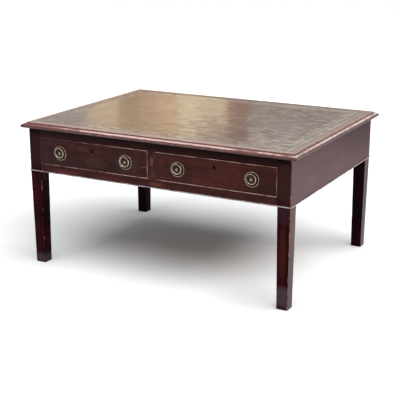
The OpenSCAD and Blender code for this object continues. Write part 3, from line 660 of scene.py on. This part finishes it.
# The frieze bead is rubbed most along its crest and more towards the back, which also paints its highlight
bead_wear = [0] + [max(0.0, 1.2 * sin(pi * i / 10) - 0.3) for i in range(11)] + [0.2]
for turn, name in enumerate(SIDES):
    half, reach = ((FACE_X, FACE_Y), (FACE_Y, FACE_X))[turn % 2]
    strip("frieze_moulding_" + name, bead_outline, bead_wear, half + BEAD_OUT,
          side_place(reach + BEAD_OUT, turn), "frame", "frieze_bead_" + name, "moulding_mahogany",
          ("frieze_x", "frieze_y")[turn % 2], depth=0.3 * MM, gap=0, seed=21 + turn,
          rub=lambda point: 1.0 + 0.8 * max(0.0, point.y))

# Top
RISE = 8.5 * MM
NOSE_Z = TABLE_H - STEP - RISE
UNDER = 4.5 * MM
edging_outline = (
    [(EDGING_W, TABLE_H - 0.3 * MM), (EDGING_W - 0.4 * MM, TABLE_H), (32 * MM, TABLE_H),
     (22 * MM, TABLE_H), (MOULDING_W + 2 * MM, TABLE_H), (MOULDING_W + 0.6 * MM, TABLE_H),
     (MOULDING_W + 0.15 * MM, TABLE_H - 0.15 * MM), (MOULDING_W, TABLE_H - 0.6 * MM),
     (MOULDING_W, TABLE_H - STEP + 0.4 * MM), (MOULDING_W - 0.4 * MM, TABLE_H - STEP - 0.1 * MM)]
    + arc((MOULDING_W, NOSE_Z), (MOULDING_W, RISE), 96, 180, 14)
    + arc((UNDER, NOSE_Z), (UNDER, NOSE_Z - TOP_Z), 190, 268, 8)
    + [(8 * MM, TOP_Z), (20 * MM, TOP_Z), (EDGING_W, TOP_Z)])
# How far each corner of the edging's section is rubbed, most on the shoulder of its roll, where the rub also
# paints its highlight
edging_wear_and_highlight = ([0.2, 0.2, 0, 0, 0.15, 0.8, 0.85, 0.45, 0, 0]
               + [0, 0.2, 0.55, 0.85, 1, 1, 0.95, 0.85, 0.65, 0.45, 0.3, 0.2, 0.15, 0.2, 0.3]
               + [0.45, 0.35, 0.15, 0.1, 0.1] + [0] * 7)
# Which corners of the edging's section are its flat, and how far painted shade darkens each, in the quirk
# and most under the nose
edging_values = {
    "flat": [1, 1, 1, 1, 1, 0.6] + [0] * 31,
    "grime_and_shade": ([0.5, 0.1, 0, 0, 0, 0, 0, 0.1, 0.35, 0.5] + [0.35, 0.1, 0] + [0] * 6
              + [0.1, 0.2, 0.35, 0.45, 0.5, 0.5] + [0.5, 0.55, 0.6, 0.7, 0.8, 0.85, 0.9, 0.9, 0.9]
              + [0.6, 0.3, 0])}


def edging_rub_and_highlight(point):
    """The edging is rubbed most in the middle of the front, where people sit, and at its ends, and
    less towards the left of the front. There the rub also paints the moulding's highlights."""
    if abs(point.x) * TABLE_D > abs(point.y) * TABLE_W:
        return 1.0 + 0.25 * rough(point, 12, 81)
    if point.y > 0:
        return 0.3
    middle = max(0.0, 1.0 - ((point.x - 0.04) / 0.3) ** 2)
    left = min(1.0, 0.3 + (point.x + TABLE_W / 2) / 0.42)
    return left * (0.95 + 0.6 * middle + (0.15 if point.x > 0.25 else 0.0) + 0.5 * rough(point, 16, 82))


for turn, name in enumerate(SIDES):
    half, reach = ((TABLE_W / 2, TABLE_D / 2), (TABLE_D / 2, TABLE_W / 2))[turn % 2]
    values = dict(edging_values)
    if name == "back":
        values["flat"] = [0.4 * share for share in edging_values["flat"]]
    strip("moulded_edging_" + name, edging_outline, edging_wear_and_highlight, half, side_place(reach, turn), "frame",
          "top_edging_" + name, "moulding_mahogany", ("edging_x", "edging_y")[turn % 2], step=5 * MM,
          depth=0.4 * MM, seed=31 + turn, more=values, rub=edging_rub_and_highlight)

PLANKS = 5
board_low, board_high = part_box("top_board")
plank_low = Vector((-TABLE_W / 2 + EDGING_W, -TABLE_D / 2 + EDGING_W, board_low.z))
plank_high = Vector((TABLE_W / 2 - EDGING_W, TABLE_D / 2 - EDGING_W, board_high.z))
plank_d = (plank_high.y - plank_low.y) / PLANKS
for i in range(PLANKS):
    worn_board("top_plank_%d" % (i + 1), (plank_low.x, plank_low.y + i * plank_d, plank_low.z),
               (plank_high.x, plank_low.y + (i + 1) * plank_d - 0.15 * MM, plank_high.z), "x", "frame",
               "top_board", "pine", "pine_x", radius=0.5 * MM, step=14 * MM, seed=41 + i)

# Leather, with the tooled lines of its border pressed in
TOOLED = (3 * MM, 5 * MM, 21 * MM, 23 * MM, 45 * MM)
LEATHER_X, LEATHER_Y = leather_high.x, leather_high.y


def leather_marks(half):
    """Places across the leather, close together at the tooled lines."""
    near = {0.0, 0.5 * MM}
    for line in TOOLED:
        near |= {line + d * MM for d in (-0.8, -0.4, 0.0, 0.4, 0.8)}
    near = sorted(near | {(n + 0.5) * 9 * MM for n in range(6)})
    inner = half - near[-1]
    count = round(inner / (8 * MM))
    right = [half - d for d in near] + [inner * i / count for i in reversed(range(count))]
    return sorted(set([-x for x in right] + right))


def leather_height(x, y):
    """How far the leather lies below its full height at a point."""
    edge = min(LEATHER_X - abs(x), LEATHER_Y - abs(y))
    groove = sum(max(0.0, 1 - abs(edge - line) / (0.8 * MM)) ** 1.5 for line in TOOLED)
    roll = 0.1 * MM if edge < 0.25 * MM else 0.0
    swell = 0.05 * MM * (1 + rough((x, y, 0), 14, 51)) + 0.03 * MM * (1 + rough((x, y, 0), 60, 52))
    return 0.3 * MM * groove + roll + swell


xs, ys = leather_marks(LEATHER_X), leather_marks(LEATHER_Y)
points = [(x, y, leather_high.z - leather_height(x, y)) for x, y in product(xs, ys)]
row, under = len(ys), len(points)
faces = [[i, i + row, i + row + 1, i + 1] for i in range(under - row) if (i + 1) % row]
rim = [*range(0, under, row), *range(under - row + 1, under), *range(under - row - 1, 0, -row),
       *range(row - 2, 0, -1)]
points += [(points[i][0], points[i][1], leather_low.z) for i in rim]
faces += [[rim[i - 1], rim[i], under + i, under + (i - 1) % len(rim)] for i in range(len(rim))]
faces.append([under + i for i in reversed(range(len(rim)))])


def leather_finish():
    """Worn writing leather: fine grain, rubbed patches, scuffs and a gilt, tooled border."""
    hide = Finish("tooled_leather", {"Coat Roughness": 0.12, "Specular IOR Level": 0.4})
    here = hide.place()
    x, y = hide.along(here, 0), hide.along(here, 1)
    from_end = LEATHER_X - x.size()
    from_front = LEATHER_Y - y.size()
    edge = from_end.least(from_front)
    along = hide.node("ShaderNodeMix", {"data_type": "FLOAT"}, {0: from_end < from_front, 2: x, 3: y}, 0)
    broad = hide.cloud(here, 3.2, 3, 0.55, 0.4)
    mottle = hide.cloud(here, 16, 5, 0.62)
    fine = hide.cloud(here, 70, 4, 0.6)
    grain = hide.node("ShaderNodeTexVoronoi", {}, {"Vector": here, "Scale": 950}, "Distance")
    creases = hide.cloud(hide.place((0.5, 1, 1), (3, 1, 0)), 42, 3, 0.6, 2.2)
    # Painted reflection: a lighter tan patch left of the middle stands for the warm wall mirrored in the
    # leather
    middle = ((x + 0.12) * (x + 0.12) * 9 + y * y * 5 + mottle * 0.5).between(1.15, 0.35)
    red = hide.cloud(hide.place((1, 0.5, 1), (7, 2, 0)), 6, 3).between(0.56, 0.7)
    rubbed = (fine * 0.6 + mottle * 0.6).between(0.66, 0.8)
    scuffs = hide.cloud(hide.place((0.35, 1, 1), (1, 5, 0)), 230, 3, 0.6, 0.8).between(0.64, 0.72)
    blotch = hide.cloud(hide.place((1, 1.1, 1), (5, 9, 0)), 30, 4, 0.62, 0.7)
    streaks = hide.cloud(hide.place((0.3, 1, 1), (2, 8, 0)), 62, 4, 0.66, 0.5)
    uneven = (x + (broad - 0.5) * 0.9).between(-0.35, 0.3) * 0.72 + 0.28
    creased = (creases - 0.5).size().between(0.012, 0.0) * broad.between(0.45, 0.6)
    colour = hide.layers(
        hide.mix(broad.between(0.35, 0.65), srgb(66, 46, 36), srgb(88, 68, 52)),
        (mottle.between(0.42, 0.72) * 0.6, srgb(111, 94, 84)), (middle * 0.6, srgb(118, 93, 68)),
        (red * 0.35, srgb(94, 52, 45)), (rubbed * 0.5, srgb(156, 138, 120)),
        (scuffs * 0.6, srgb(206, 196, 182)),
        (blotch.between(0.46, 0.64) * uneven * 0.45, srgb(36, 27, 22)),
        (streaks.between(0.51, 0.64) * uneven * 0.7, srgb(38, 29, 24)),
        (streaks.between(0.46, 0.34) * uneven * 0.4, srgb(176, 164, 146)),
        (creased * 0.5, srgb(40, 30, 24)))

    def line(place, width):
        return (edge - place).size().between(width, width * 0.4)

    # A scroll with buds along the middle of the border, and a row of dots outside it
    wave = 2 * pi / (11 * MM)
    lobes = (along * wave).sine()
    band = (edge - 34 * MM) / (9 * MM)
    scroll = (band - lobes * 0.55).size().between(0.22, 0.08) * band.size().between(1.05, 0.85)
    petals = (along * wave + pi / 2).sine().size() * 1.2
    bud = (petals + (band + lobes * 0.55).size() * 2).between(0.75, 0.5)
    beat = ((along * (2 * pi / (6 * MM))).sine() - 1).size()
    dots = (beat + ((edge - 13 * MM) / (2.2 * MM)).size()).between(1.0, 0.6)
    stamped = scroll.most(bud * band.size().between(1.0, 0.8)).most(dots)
    for place in TOOLED:
        stamped = stamped.most(line(place, 0.9 * MM))
    left_over = hide.cloud(here, 38, 4, 0.65) * 0.7 + broad * 0.3 + y * 0.12 + x * 0.1
    gilt = stamped * left_over.between(0.38, 0.56)
    flecks = hide.cloud(hide.place((0.6, 1, 1), (4, 2, 0)), 420, 2, 0.6)
    colour = hide.layers(
        colour, (stamped * 0.35, srgb(46, 34, 26)), (gilt * 0.95, srgb(220, 216, 196)),
        (flecks.between(0.62, 0.7) * 0.45, srgb(190, 178, 160)),
        (flecks.between(0.38, 0.3) * 0.4, srgb(44, 32, 26)))
    hide.feed(Base_Color=colour, Roughness=0.2 + mottle * 0.2 + rubbed * 0.12 - gilt * 0.05)
    matt = blotch.between(0.4, 0.6) * 0.35 + streaks.between(0.4, 0.6) * 0.55
    hide.feed(Coat_Weight=0.5 - (matt - 0.45) * uneven)
    hide.bump(grain * 0.35 + fine * 0.7 - stamped * 0.9 + mottle * 1.8 - creased * 0.6, 0.22 * MM)
    return hide.made


finishes["leather"] = leather_finish()
put("leather_lining", points, faces, "frame", "writing_leather", "leather", "leather", angle=60)

# Inside the frieze
for i, name in enumerate(("side_runners", "centre_runner", "drawer_guides", "side_kickers",
                          "centre_kicker", "drawer_stops", "glue_blocks")):
    softened("inner_" + name, name, "frame", "pine", "pine_y" if i < 5 else "pine_x", 0.6 * MM)


def screw_head(name, centre, out, across, radius, body, node, drop=0.0):
    """A slotted screw head that faces along out, with its slot along across."""
    out, across = Vector(out), Vector(across)
    side = out.cross(across)

    def solid(*levels):
        return sweep([[centre + across * u + side * v + out * (height - drop) for u, v in ring]
                      for ring, height in levels])

    half = 0.13 * radius
    start = asin(half / radius)
    forms = []
    for sign in (-1, 1):
        turns = [start + (pi - 2 * start) * i / 14 for i in range(15)]
        forms.append(solid(*(
            ([(radius * cos(a) * shrink, sign * max(radius * sin(a) * shrink, half)) for a in turns],
             height) for height, shrink in ((0.0, 1.0), (0.22 * radius, 0.94)))))
    turns = [2 * pi * i / 28 for i in range(28)]
    disc = [(0.98 * radius * cos(a), 0.98 * radius * sin(a)) for a in turns]
    forms.append(solid((disc, -0.35 * radius), (disc, 0.02 * radius)))
    put(name, *joined(*forms), body, node, "steel", "steel")


TOP_SCREW_R = 4.4 * MM
LOCK_SCREW_R = 2.6 * MM
screw_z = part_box("top_screws")[0].z
# Through the side kickers, the centre kicker and the front rail
screw_places = [(s * (FACE_X - APRON_T - 21 * MM), t * (INNER_Y - 110 * MM))
                for s, t in product((-1, 1), (-1, 1))]
screw_places += [(0, t * (INNER_Y - 135 * MM)) for t in (-1, 1)]
screw_places += [(s * 129.5 * MM, -INNER_Y - 10 * MM) for s in (-1, 1)]
for i, (x, y) in enumerate(screw_places):
    screw_head("top_screw_%d" % (i + 1), Vector((x, y, screw_z + 1.1 * MM)), (0, 0, -1),
               (cos(1.1 * i), sin(1.1 * i), 0), TOP_SCREW_R, "frame", "top_screws")

# Drawers
RING_R = 16.75 * MM
RING_RISE = 2.5 * MM
WIRE_R = 1.65 * MM
PIN_OUT = 9.5 * MM
PIN_R = 1.2 * MM
LUG_R = 2.4 * MM
POST_R = 2.5 * MM
NUT_HALF = 6 * MM
NUT_T = 4 * MM
RING_LEAN = radians(4)


def front_place(x, z):
    """Places a form turned about an axis square to the drawer front."""
    return lambda u, v, w: Vector((x + u, -FACE_Y - w, z + v))


plate_outline = in_mm(
    (0, 0), (25.3, 0), (25.6, 0.3), (25.6, 1.1), (25.1, 1.5), *arc((24.3, 1.6), (0.9, 1.4), 10, 170, 8),
    (23.3, 1.3), (23, 1.3), (22.5, 1.35), (22, 1.3), (21.2, 1.25), (19, 1.15), (16, 1.2), (13, 1.2),
    (11, 1.25), (10.2, 1.5), (9.6, 2), (9, 2.2), (8.2, 2.2), (0, 2.2))
# How dark each ring of the plate is: patina in its recesses, and painted shade on the flanks of the rim's
# beads, which leaves a painted highlight along their crests
plate_patina_and_shade = ([0.8, 0.9, 0.9, 0.9, 1] + [0.8, 0.55, 0.3, 0.1, 0, 0.1, 0.35, 0.65, 0.9]
                + [1, 1, 0.9, 0.85, 0.8, 0.8, 0.75, 0.75, 0.9, 1, 0.7, 0.6, 0.8, 0.8])
RIM = range(5, 14)
boss_outline = in_mm(
    (0, 2.2), (8, 2.2), (8.3, 2.5), (8.3, 3), (8.1, 3.3), (7.8, 3.4), (7.7, 3.6),
    *arc((0, 3.6), (7.7, 6.2), 8, 84, 9), (0, 9.8))
# How dark the boss is, lighter towards the top of its dome as a painted highlight
boss_patina_and_shade = ([1, 1, 0.9, 0.85, 0.85, 0.9, 0.85]
               + [0.85, 0.8, 0.75, 0.7, 0.65, 0.6, 0.55, 0.5, 0.55, 0.55, 0.55])
BEADS = 44
PLATE_SIDES = 6 * BEADS
BOSS_SIDES = 48


def beading(i, turn):
    """Turns the rim of a plate into a row of beads."""
    if i not in RIM:
        return 0.0
    crest = sin(pi * (i - RIM[0]) / (len(RIM) - 1))
    return -0.75 * MM * crest * (1 - abs(sin(pi * BEADS * turn)) ** 0.7)


def hung_ring(x, z):
    """Rings of points along a hanging ring, open at its pin, and how dark each point is: random
    tarnish, and painted shade that is deepest near the top of the ring and on the sides of the wire,
    which leaves a painted highlight along the wire's front.
    """
    rings, tarnish_and_shade = [], []
    hung = Matrix.Translation((x, -FACE_Y - PIN_OUT, z)) @ Matrix.Rotation(RING_LEAN, 4, "X")
    start = asin(2.7 * MM / RING_R)
    steps = 72
    for k in range(steps + 1):
        angle = start + (2 * pi - 2 * start) * k / steps
        thick = WIRE_R * (0.6, 0.86, 0.97, 1.0)[min(k, steps - k, 3)]
        middle = Vector((-RING_R * sin(angle), 0, RING_R * (cos(angle) - 1)))
        outward = Vector((-sin(angle), 0, cos(angle)))
        # Painted shade round the ring, deepest near its top, with random tarnish
        dull_and_shade = 0.7 + 0.3 * cos(angle - 0.4)
        dull_and_shade += 0.3 * rough((cos(angle), sin(angle), x * 40), 2.6, 91)
        section = [2 * pi * i / 20 for i in range(20)]
        tarnish_and_shade += [max(0.0, dull_and_shade - 0.7 * max(0.0, sin(t)) ** 2) for t in section]
        rings.append([hung @ (middle + thick * (outward * cos(t) + Vector((0, -1, 0)) * sin(t)))
                      for t in section])
    return rings, tarnish_and_shade


def handle(name, body):
    """Plate, domed boss and hanging ring of one handle."""
    plate, post, ring = [name + "_handle_" + part for part in ("plate", "post", "ring")]
    low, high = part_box(plate)
    x, z = (low.x + high.x) / 2, (low.z + high.z) / 2
    pin_z = z + RING_RISE + RING_R
    form = turned(plate_outline, PLATE_SIDES, front_place(x, z), beading)
    put(name + "_plate", *form, body, plate, "brass", "brass",
        {"hollow": [h for h in plate_patina_and_shade for _ in range(PLATE_SIDES)]}, 50)
    outline = [(-LUG_R, 0.9 * MM), (LUG_R, 0.9 * MM)] + arc((0, PIN_OUT), (LUG_R, LUG_R), 0, 180, 14)
    points, faces = sweep([
        [Vector((x + across * MM, -FACE_Y - w * (shrink if w > PIN_OUT else 1), pin_z + v * shrink))
         for v, w in outline]
        for across, shrink in ((-2.2, 0.86), (-1.9, 1.0), (1.9, 1.0), (2.2, 0.86))])
    put(name + "_lug", points, faces, body, plate, "brass", "brass", {"hollow": [0.35] * len(points)})
    form = turned(boss_outline, BOSS_SIDES, front_place(x, z))
    put(name + "_boss", *form, body, post, "brass", "brass",
        {"hollow": [h for h in boss_patina_and_shade for _ in range(BOSS_SIDES)]}, 50)
    post_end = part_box(post)[1].y + FACE_Y
    nut_y = post_end - 2 * MM - FACE_Y
    form = turned([(0, 2.3 * MM), (POST_R, 2.3 * MM), (POST_R, 0.4 * MM - post_end),
                   (POST_R - 0.4 * MM, -post_end), (0, -post_end)], 24, front_place(x, z))
    put(name + "_post", *form, body, post, "brass", "lock_brass")
    worn_board(name + "_nut", (x - NUT_HALF, nut_y - NUT_T, z - NUT_HALF),
               (x + NUT_HALF, nut_y, z + NUT_HALF), "x", body, post, "brass", "lock_brass",
               radius=0.5 * MM, step=3 * MM, seed=5)
    rings, hollow = hung_ring(x, pin_z)
    turns = [2 * pi * i / 16 for i in range(16)]
    pin = [[Vector((x + u * MM, PIN_R * cos(t) - FACE_Y - PIN_OUT, pin_z + PIN_R * sin(t)))
            for t in turns] for u in (-3.4, 3.4)]
    put(name + "_ring", *joined(sweep(rings), sweep(pin)), name + "_ring", ring, "brass", "brass",
        {"hollow": hollow + [0.4] * 2 * len(turns)}, 50)


def bead_rub(axis, low, high, start, end):
    """How far a cock bead is rubbed along its length, from its left or lower end to the other."""
    def worn_at(point):
        share = (point[axis] - low[axis]) / (high[axis] - low[axis])
        return max(0.0, start + (end - start) * share + 0.4 * rough(point, 22, 71))
    return worn_at


# From end to end of the lower, right, upper and left bead of each drawer
BEAD_RUBS = {"left": ((0.5, 0.9), (0.8, 0.7), (0.05, 1.05), (0.1, 0.0)),
             "right": ((0.85, 0.95), (0.7, 0.75), (0.75, 0.7), (0.25, 0.35))}


def cock_place(x, z, turn, down):
    """Places a strip of cock bead: turn counts quarter turns from the lower edge, which lies down from
    the middle of the front."""
    spin = Matrix.Rotation(pi / 2 * turn, 4, (0, -1, 0))
    middle = Vector((x, 0, z))
    return lambda length, inward, height: middle + spin @ Vector((length, height - FACE_Y, inward - down))


cock_outline = in_mm((0, 8), (0, 0), *arc((1.5, -0.1), (1.5, 1.5), 180, 360, 10), (3, 0), (3, 8))
cock_wear = [0, 0.1] + [0.15 + 1.05 * sin(pi * i / 10) for i in range(11)] + [0.1, 0]
for side in ("left", "right"):
    body = side + "_drawer"
    front_low, front_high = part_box(side + "_cock_bead")
    middle = (front_low + front_high) / 2
    for part, node, on, slot, finish, width in (
            ("front_board", "drawer_front", body, "mahogany", "drawer_front_" + side, 0.35),
            ("outer_side_board", "drawer_outer_side", body, "drawer_oak", "oak_y", 0.4),
            ("inner_side_board", "drawer_inner_side", body, "drawer_oak", "oak_y", 0.4),
            ("back_board", "drawer_back", body, "drawer_oak", "oak_x", 0.4),
            ("bottom_board", "drawer_bottom", body, "drawer_oak", "oak_y", 0.3),
            ("lock_box", "lock_case", body, "brass", "lock_brass", 0.15),
            ("lock_bolt_plate", "lock_bolt", side + "_bolt", "brass", "lock_brass", 0.25)):
        softened("%s_%s" % (side, part), "%s_%s" % (side, node), on, slot, finish, width * MM)
    half_w, half_h = (front_high.x - front_low.x) / 2, (front_high.z - front_low.z) / 2
    for turn, edge in enumerate(("lower", "right", "upper", "left")):
        half, down = ((half_w, half_h), (half_h, half_w))[turn % 2]
        strip("%s_cock_bead_%s" % (side, edge), cock_outline, cock_wear, half,
              cock_place(middle.x, middle.z, turn, down), body, side + "_cock_bead",
              "moulding_mahogany", ("bead_x", "bead_z")[turn % 2], step=5 * MM, depth=0.3 * MM,
              gap=0.05 * MM, seed=61 + turn,
              rub=bead_rub((0, 2)[turn % 2], front_low, front_high, *BEAD_RUBS[side][turn]))
    screw_low, screw_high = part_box(side + "_lock_screws")
    back_y = screw_high.y - 0.1 * MM
    for i, (x, z) in enumerate(product((screw_low.x + LOCK_SCREW_R, screw_high.x - LOCK_SCREW_R),
                                       (screw_low.z + LOCK_SCREW_R, screw_high.z - LOCK_SCREW_R))):
        screw_head("%s_lock_screw_%d" % (side, i + 1), Vector((x, back_y, z)), (0, 1, 0),
                   (cos(2.1 * i), 0, sin(2.1 * i)), LOCK_SCREW_R, body, side + "_lock_screws", 0.5 * MM)
    for hand in ("_outer", "_inner"):
        handle(side + hand, body)

# Floor, backdrop, lights and camera

def sheet(name, corners, finish):
    """A flat sheet of the studio with four corners."""
    mesh = bpy.data.meshes.new(name)
    mesh.from_pydata(corners, [], [(0, 1, 2, 3)])
    mesh.materials.append(finish.made)
    card = shown(name, mesh)
    return card


def round_spot(along_x, along_y):
    """1 in the middle of an ellipse and 0 at its rim, from places measured in its radii."""
    return (along_x * along_x + along_y * along_y).power(0.5).between(1.0, 0.0)


paper = Finish("studio_paper", {"Base Color": (0.94, 0.955, 0.965, 1), "Roughness": 1.0,
                                "Specular IOR Level": 0.0, "Emission Strength": 1.0})
seen, glossy, passing = paper.rays()
# The paper glows white away from the table and less near it, so that the shadow under it shows.
# Less glow towards the feet and to the left paints shadow there, and a faint blue glow near the
# table cools the shadow.
here = paper.place()
x, y = paper.along(here, 0), paper.along(here, 1)
across = ((x + 0.08) / 0.3).most((x + 0.08) / -0.9)
back = ((y - 0.08) / 0.6).most((y - 0.08) / -0.42)
away = (across * across + back * back).power(0.5).between(0.1, 1.7)
feet_painted_shadow = round_spot(((x + 0.1).size() - 0.5) / 0.3, (y.size() - 0.36) / 0.22)
left = round_spot((x + 0.8) / 0.4, (y - 0.1) / 0.55)
white = away * (1 - feet_painted_shadow * 0.55) * (1 - left * 0.55)
glow = paper.mix(white, (0.0, 0.012, 0.021, 1), (0.44, 0.44, 0.44, 1))
mirrored = paper.mix(glossy, (0, 0, 0, 1), (0.05, 0.05, 0.05, 1))
paper.feed(Emission_Color=paper.mix(seen.most(passing), mirrored, glow))
FLOOR_Z = -0.5 * MM
sheet("studio_floor", [(-9, -9, FLOOR_Z), (9, -9, FLOOR_Z), (9, 9, FLOOR_Z), (-9, 9, FLOOR_Z)], paper)

# The world's light, dimmer where it lights things than where it is seen or mirrored
sky = Finish("studio_world", {"Color": (1, 1, 1, 1)}, world=True)
bpy.context.scene.world = sky.made
seen, glossy, passing = sky.rays()
sky.feed(Strength=sky.node("ShaderNodeMapRange", {}, {
    "Value": seen.most(glossy).most(passing), "To Min": 0.15, "To Max": 1.0}))


def lamp(name, kind, place, aim, **settings):
    light = bpy.data.lights.new(name, kind)
    for setting, value in settings.items():
        setattr(light, setting, value)
    held = shown(name, light)
    held.location = place
    held.rotation_euler = (Vector(aim) - Vector(place)).to_track_quat("-Z", "Y").to_euler()


lamp("overhead_light", "SUN", (0.95, -0.6, 3.0), (0, 0, 0), energy=2.65, angle=radians(72))
lamp("front_fill", "AREA", (-1.2, -3.2, 1.9), (0, 0, 0.4), energy=12, shape="DISK", size=1.8)


def gloss_card(name, left, right, y, foot, top):
    """The finish of an upright card that glows and is seen only in the table's gloss."""
    finish = Finish(name, {"Base Color": (0, 0, 0, 1), "Specular IOR Level": 0.0,
                           "Emission Strength": 1.0})
    card = sheet(name, [(left, y, foot), (right, y, foot), (right, y, top), (left, y, top)], finish)
    card.visible_camera = card.visible_diffuse = card.visible_shadow = False
    return finish


# Behind the table, the leather mirrors a warm wall between cooler ones. Each card has its edges as
# seen from the camera (across per metre of depth), its foot, its top and its colour.
CARD_Y = 2.0
EYE = (1.6031, -3.0275, 1.2147)
for i, (start, end, foot, top, colour) in enumerate((
        (-0.820, -0.700, 0.5, 1.7, (0.68, 0.58, 0.57)), (-0.700, -0.652, 0.5, 1.7, (1.24, 0.94, 0.64)),
        (-0.652, -0.620, 0.5, 1.7, (0.70, 0.47, 0.30)), (-0.620, -0.595, 0.5, 1.7, (0.90, 0.62, 0.42)),
        (-0.595, -0.565, 0.5, 1.7, (1.14, 0.78, 0.49)), (-0.565, -0.542, 0.5, 1.7, (1.46, 1.24, 0.86)),
        (-0.542, -0.4985, 0.5, 1.01, (1.38, 1.13, 0.78)), (-0.542, -0.520, 1.01, 1.7, (0.84, 0.62, 0.50)),
        (-0.520, -0.4985, 1.01, 1.7, (0.55, 0.38, 0.33)), (-0.4985, -0.472, 0.5, 1.7, (0.46, 0.24, 0.20)),
        (-0.472, -0.300, 0.5, 1.04, (0.48, 0.41, 0.38)), (-0.472, -0.300, 1.04, 1.7, (1.2, 1.04, 0.96)))):
    start, end = [EYE[0] + slope * (CARD_Y - EYE[1]) for slope in (start, end)]
    finish = gloss_card("studio_card_%d" % (i + 1), start, end, CARD_Y, foot, top)
    finish.shader.inputs["Emission Color"].default_value = colour + (1,)

# A card beyond the table's end, darker towards its top, dims the far part of the end in its gloss
dim = gloss_card("studio_card_dim", 0.6, 1.3, 1.3, 0, 0.5)
dim.feed(Emission_Color=1.0 - dim.along(dim.place(), 2).between(-0.1, 0.34) * 0.85)

camera_data = bpy.data.cameras.new("photo_camera")
camera_data.sensor_width = 36
camera_data.lens = 86.65
camera = shown("photo_camera", camera_data)
camera.location = EYE
camera.rotation_euler = (pi / 2 - 0.2866, 0.0, 0.4918)
bpy.context.scene.camera = camera
bpy.context.scene.view_settings.view_transform = "Standard"
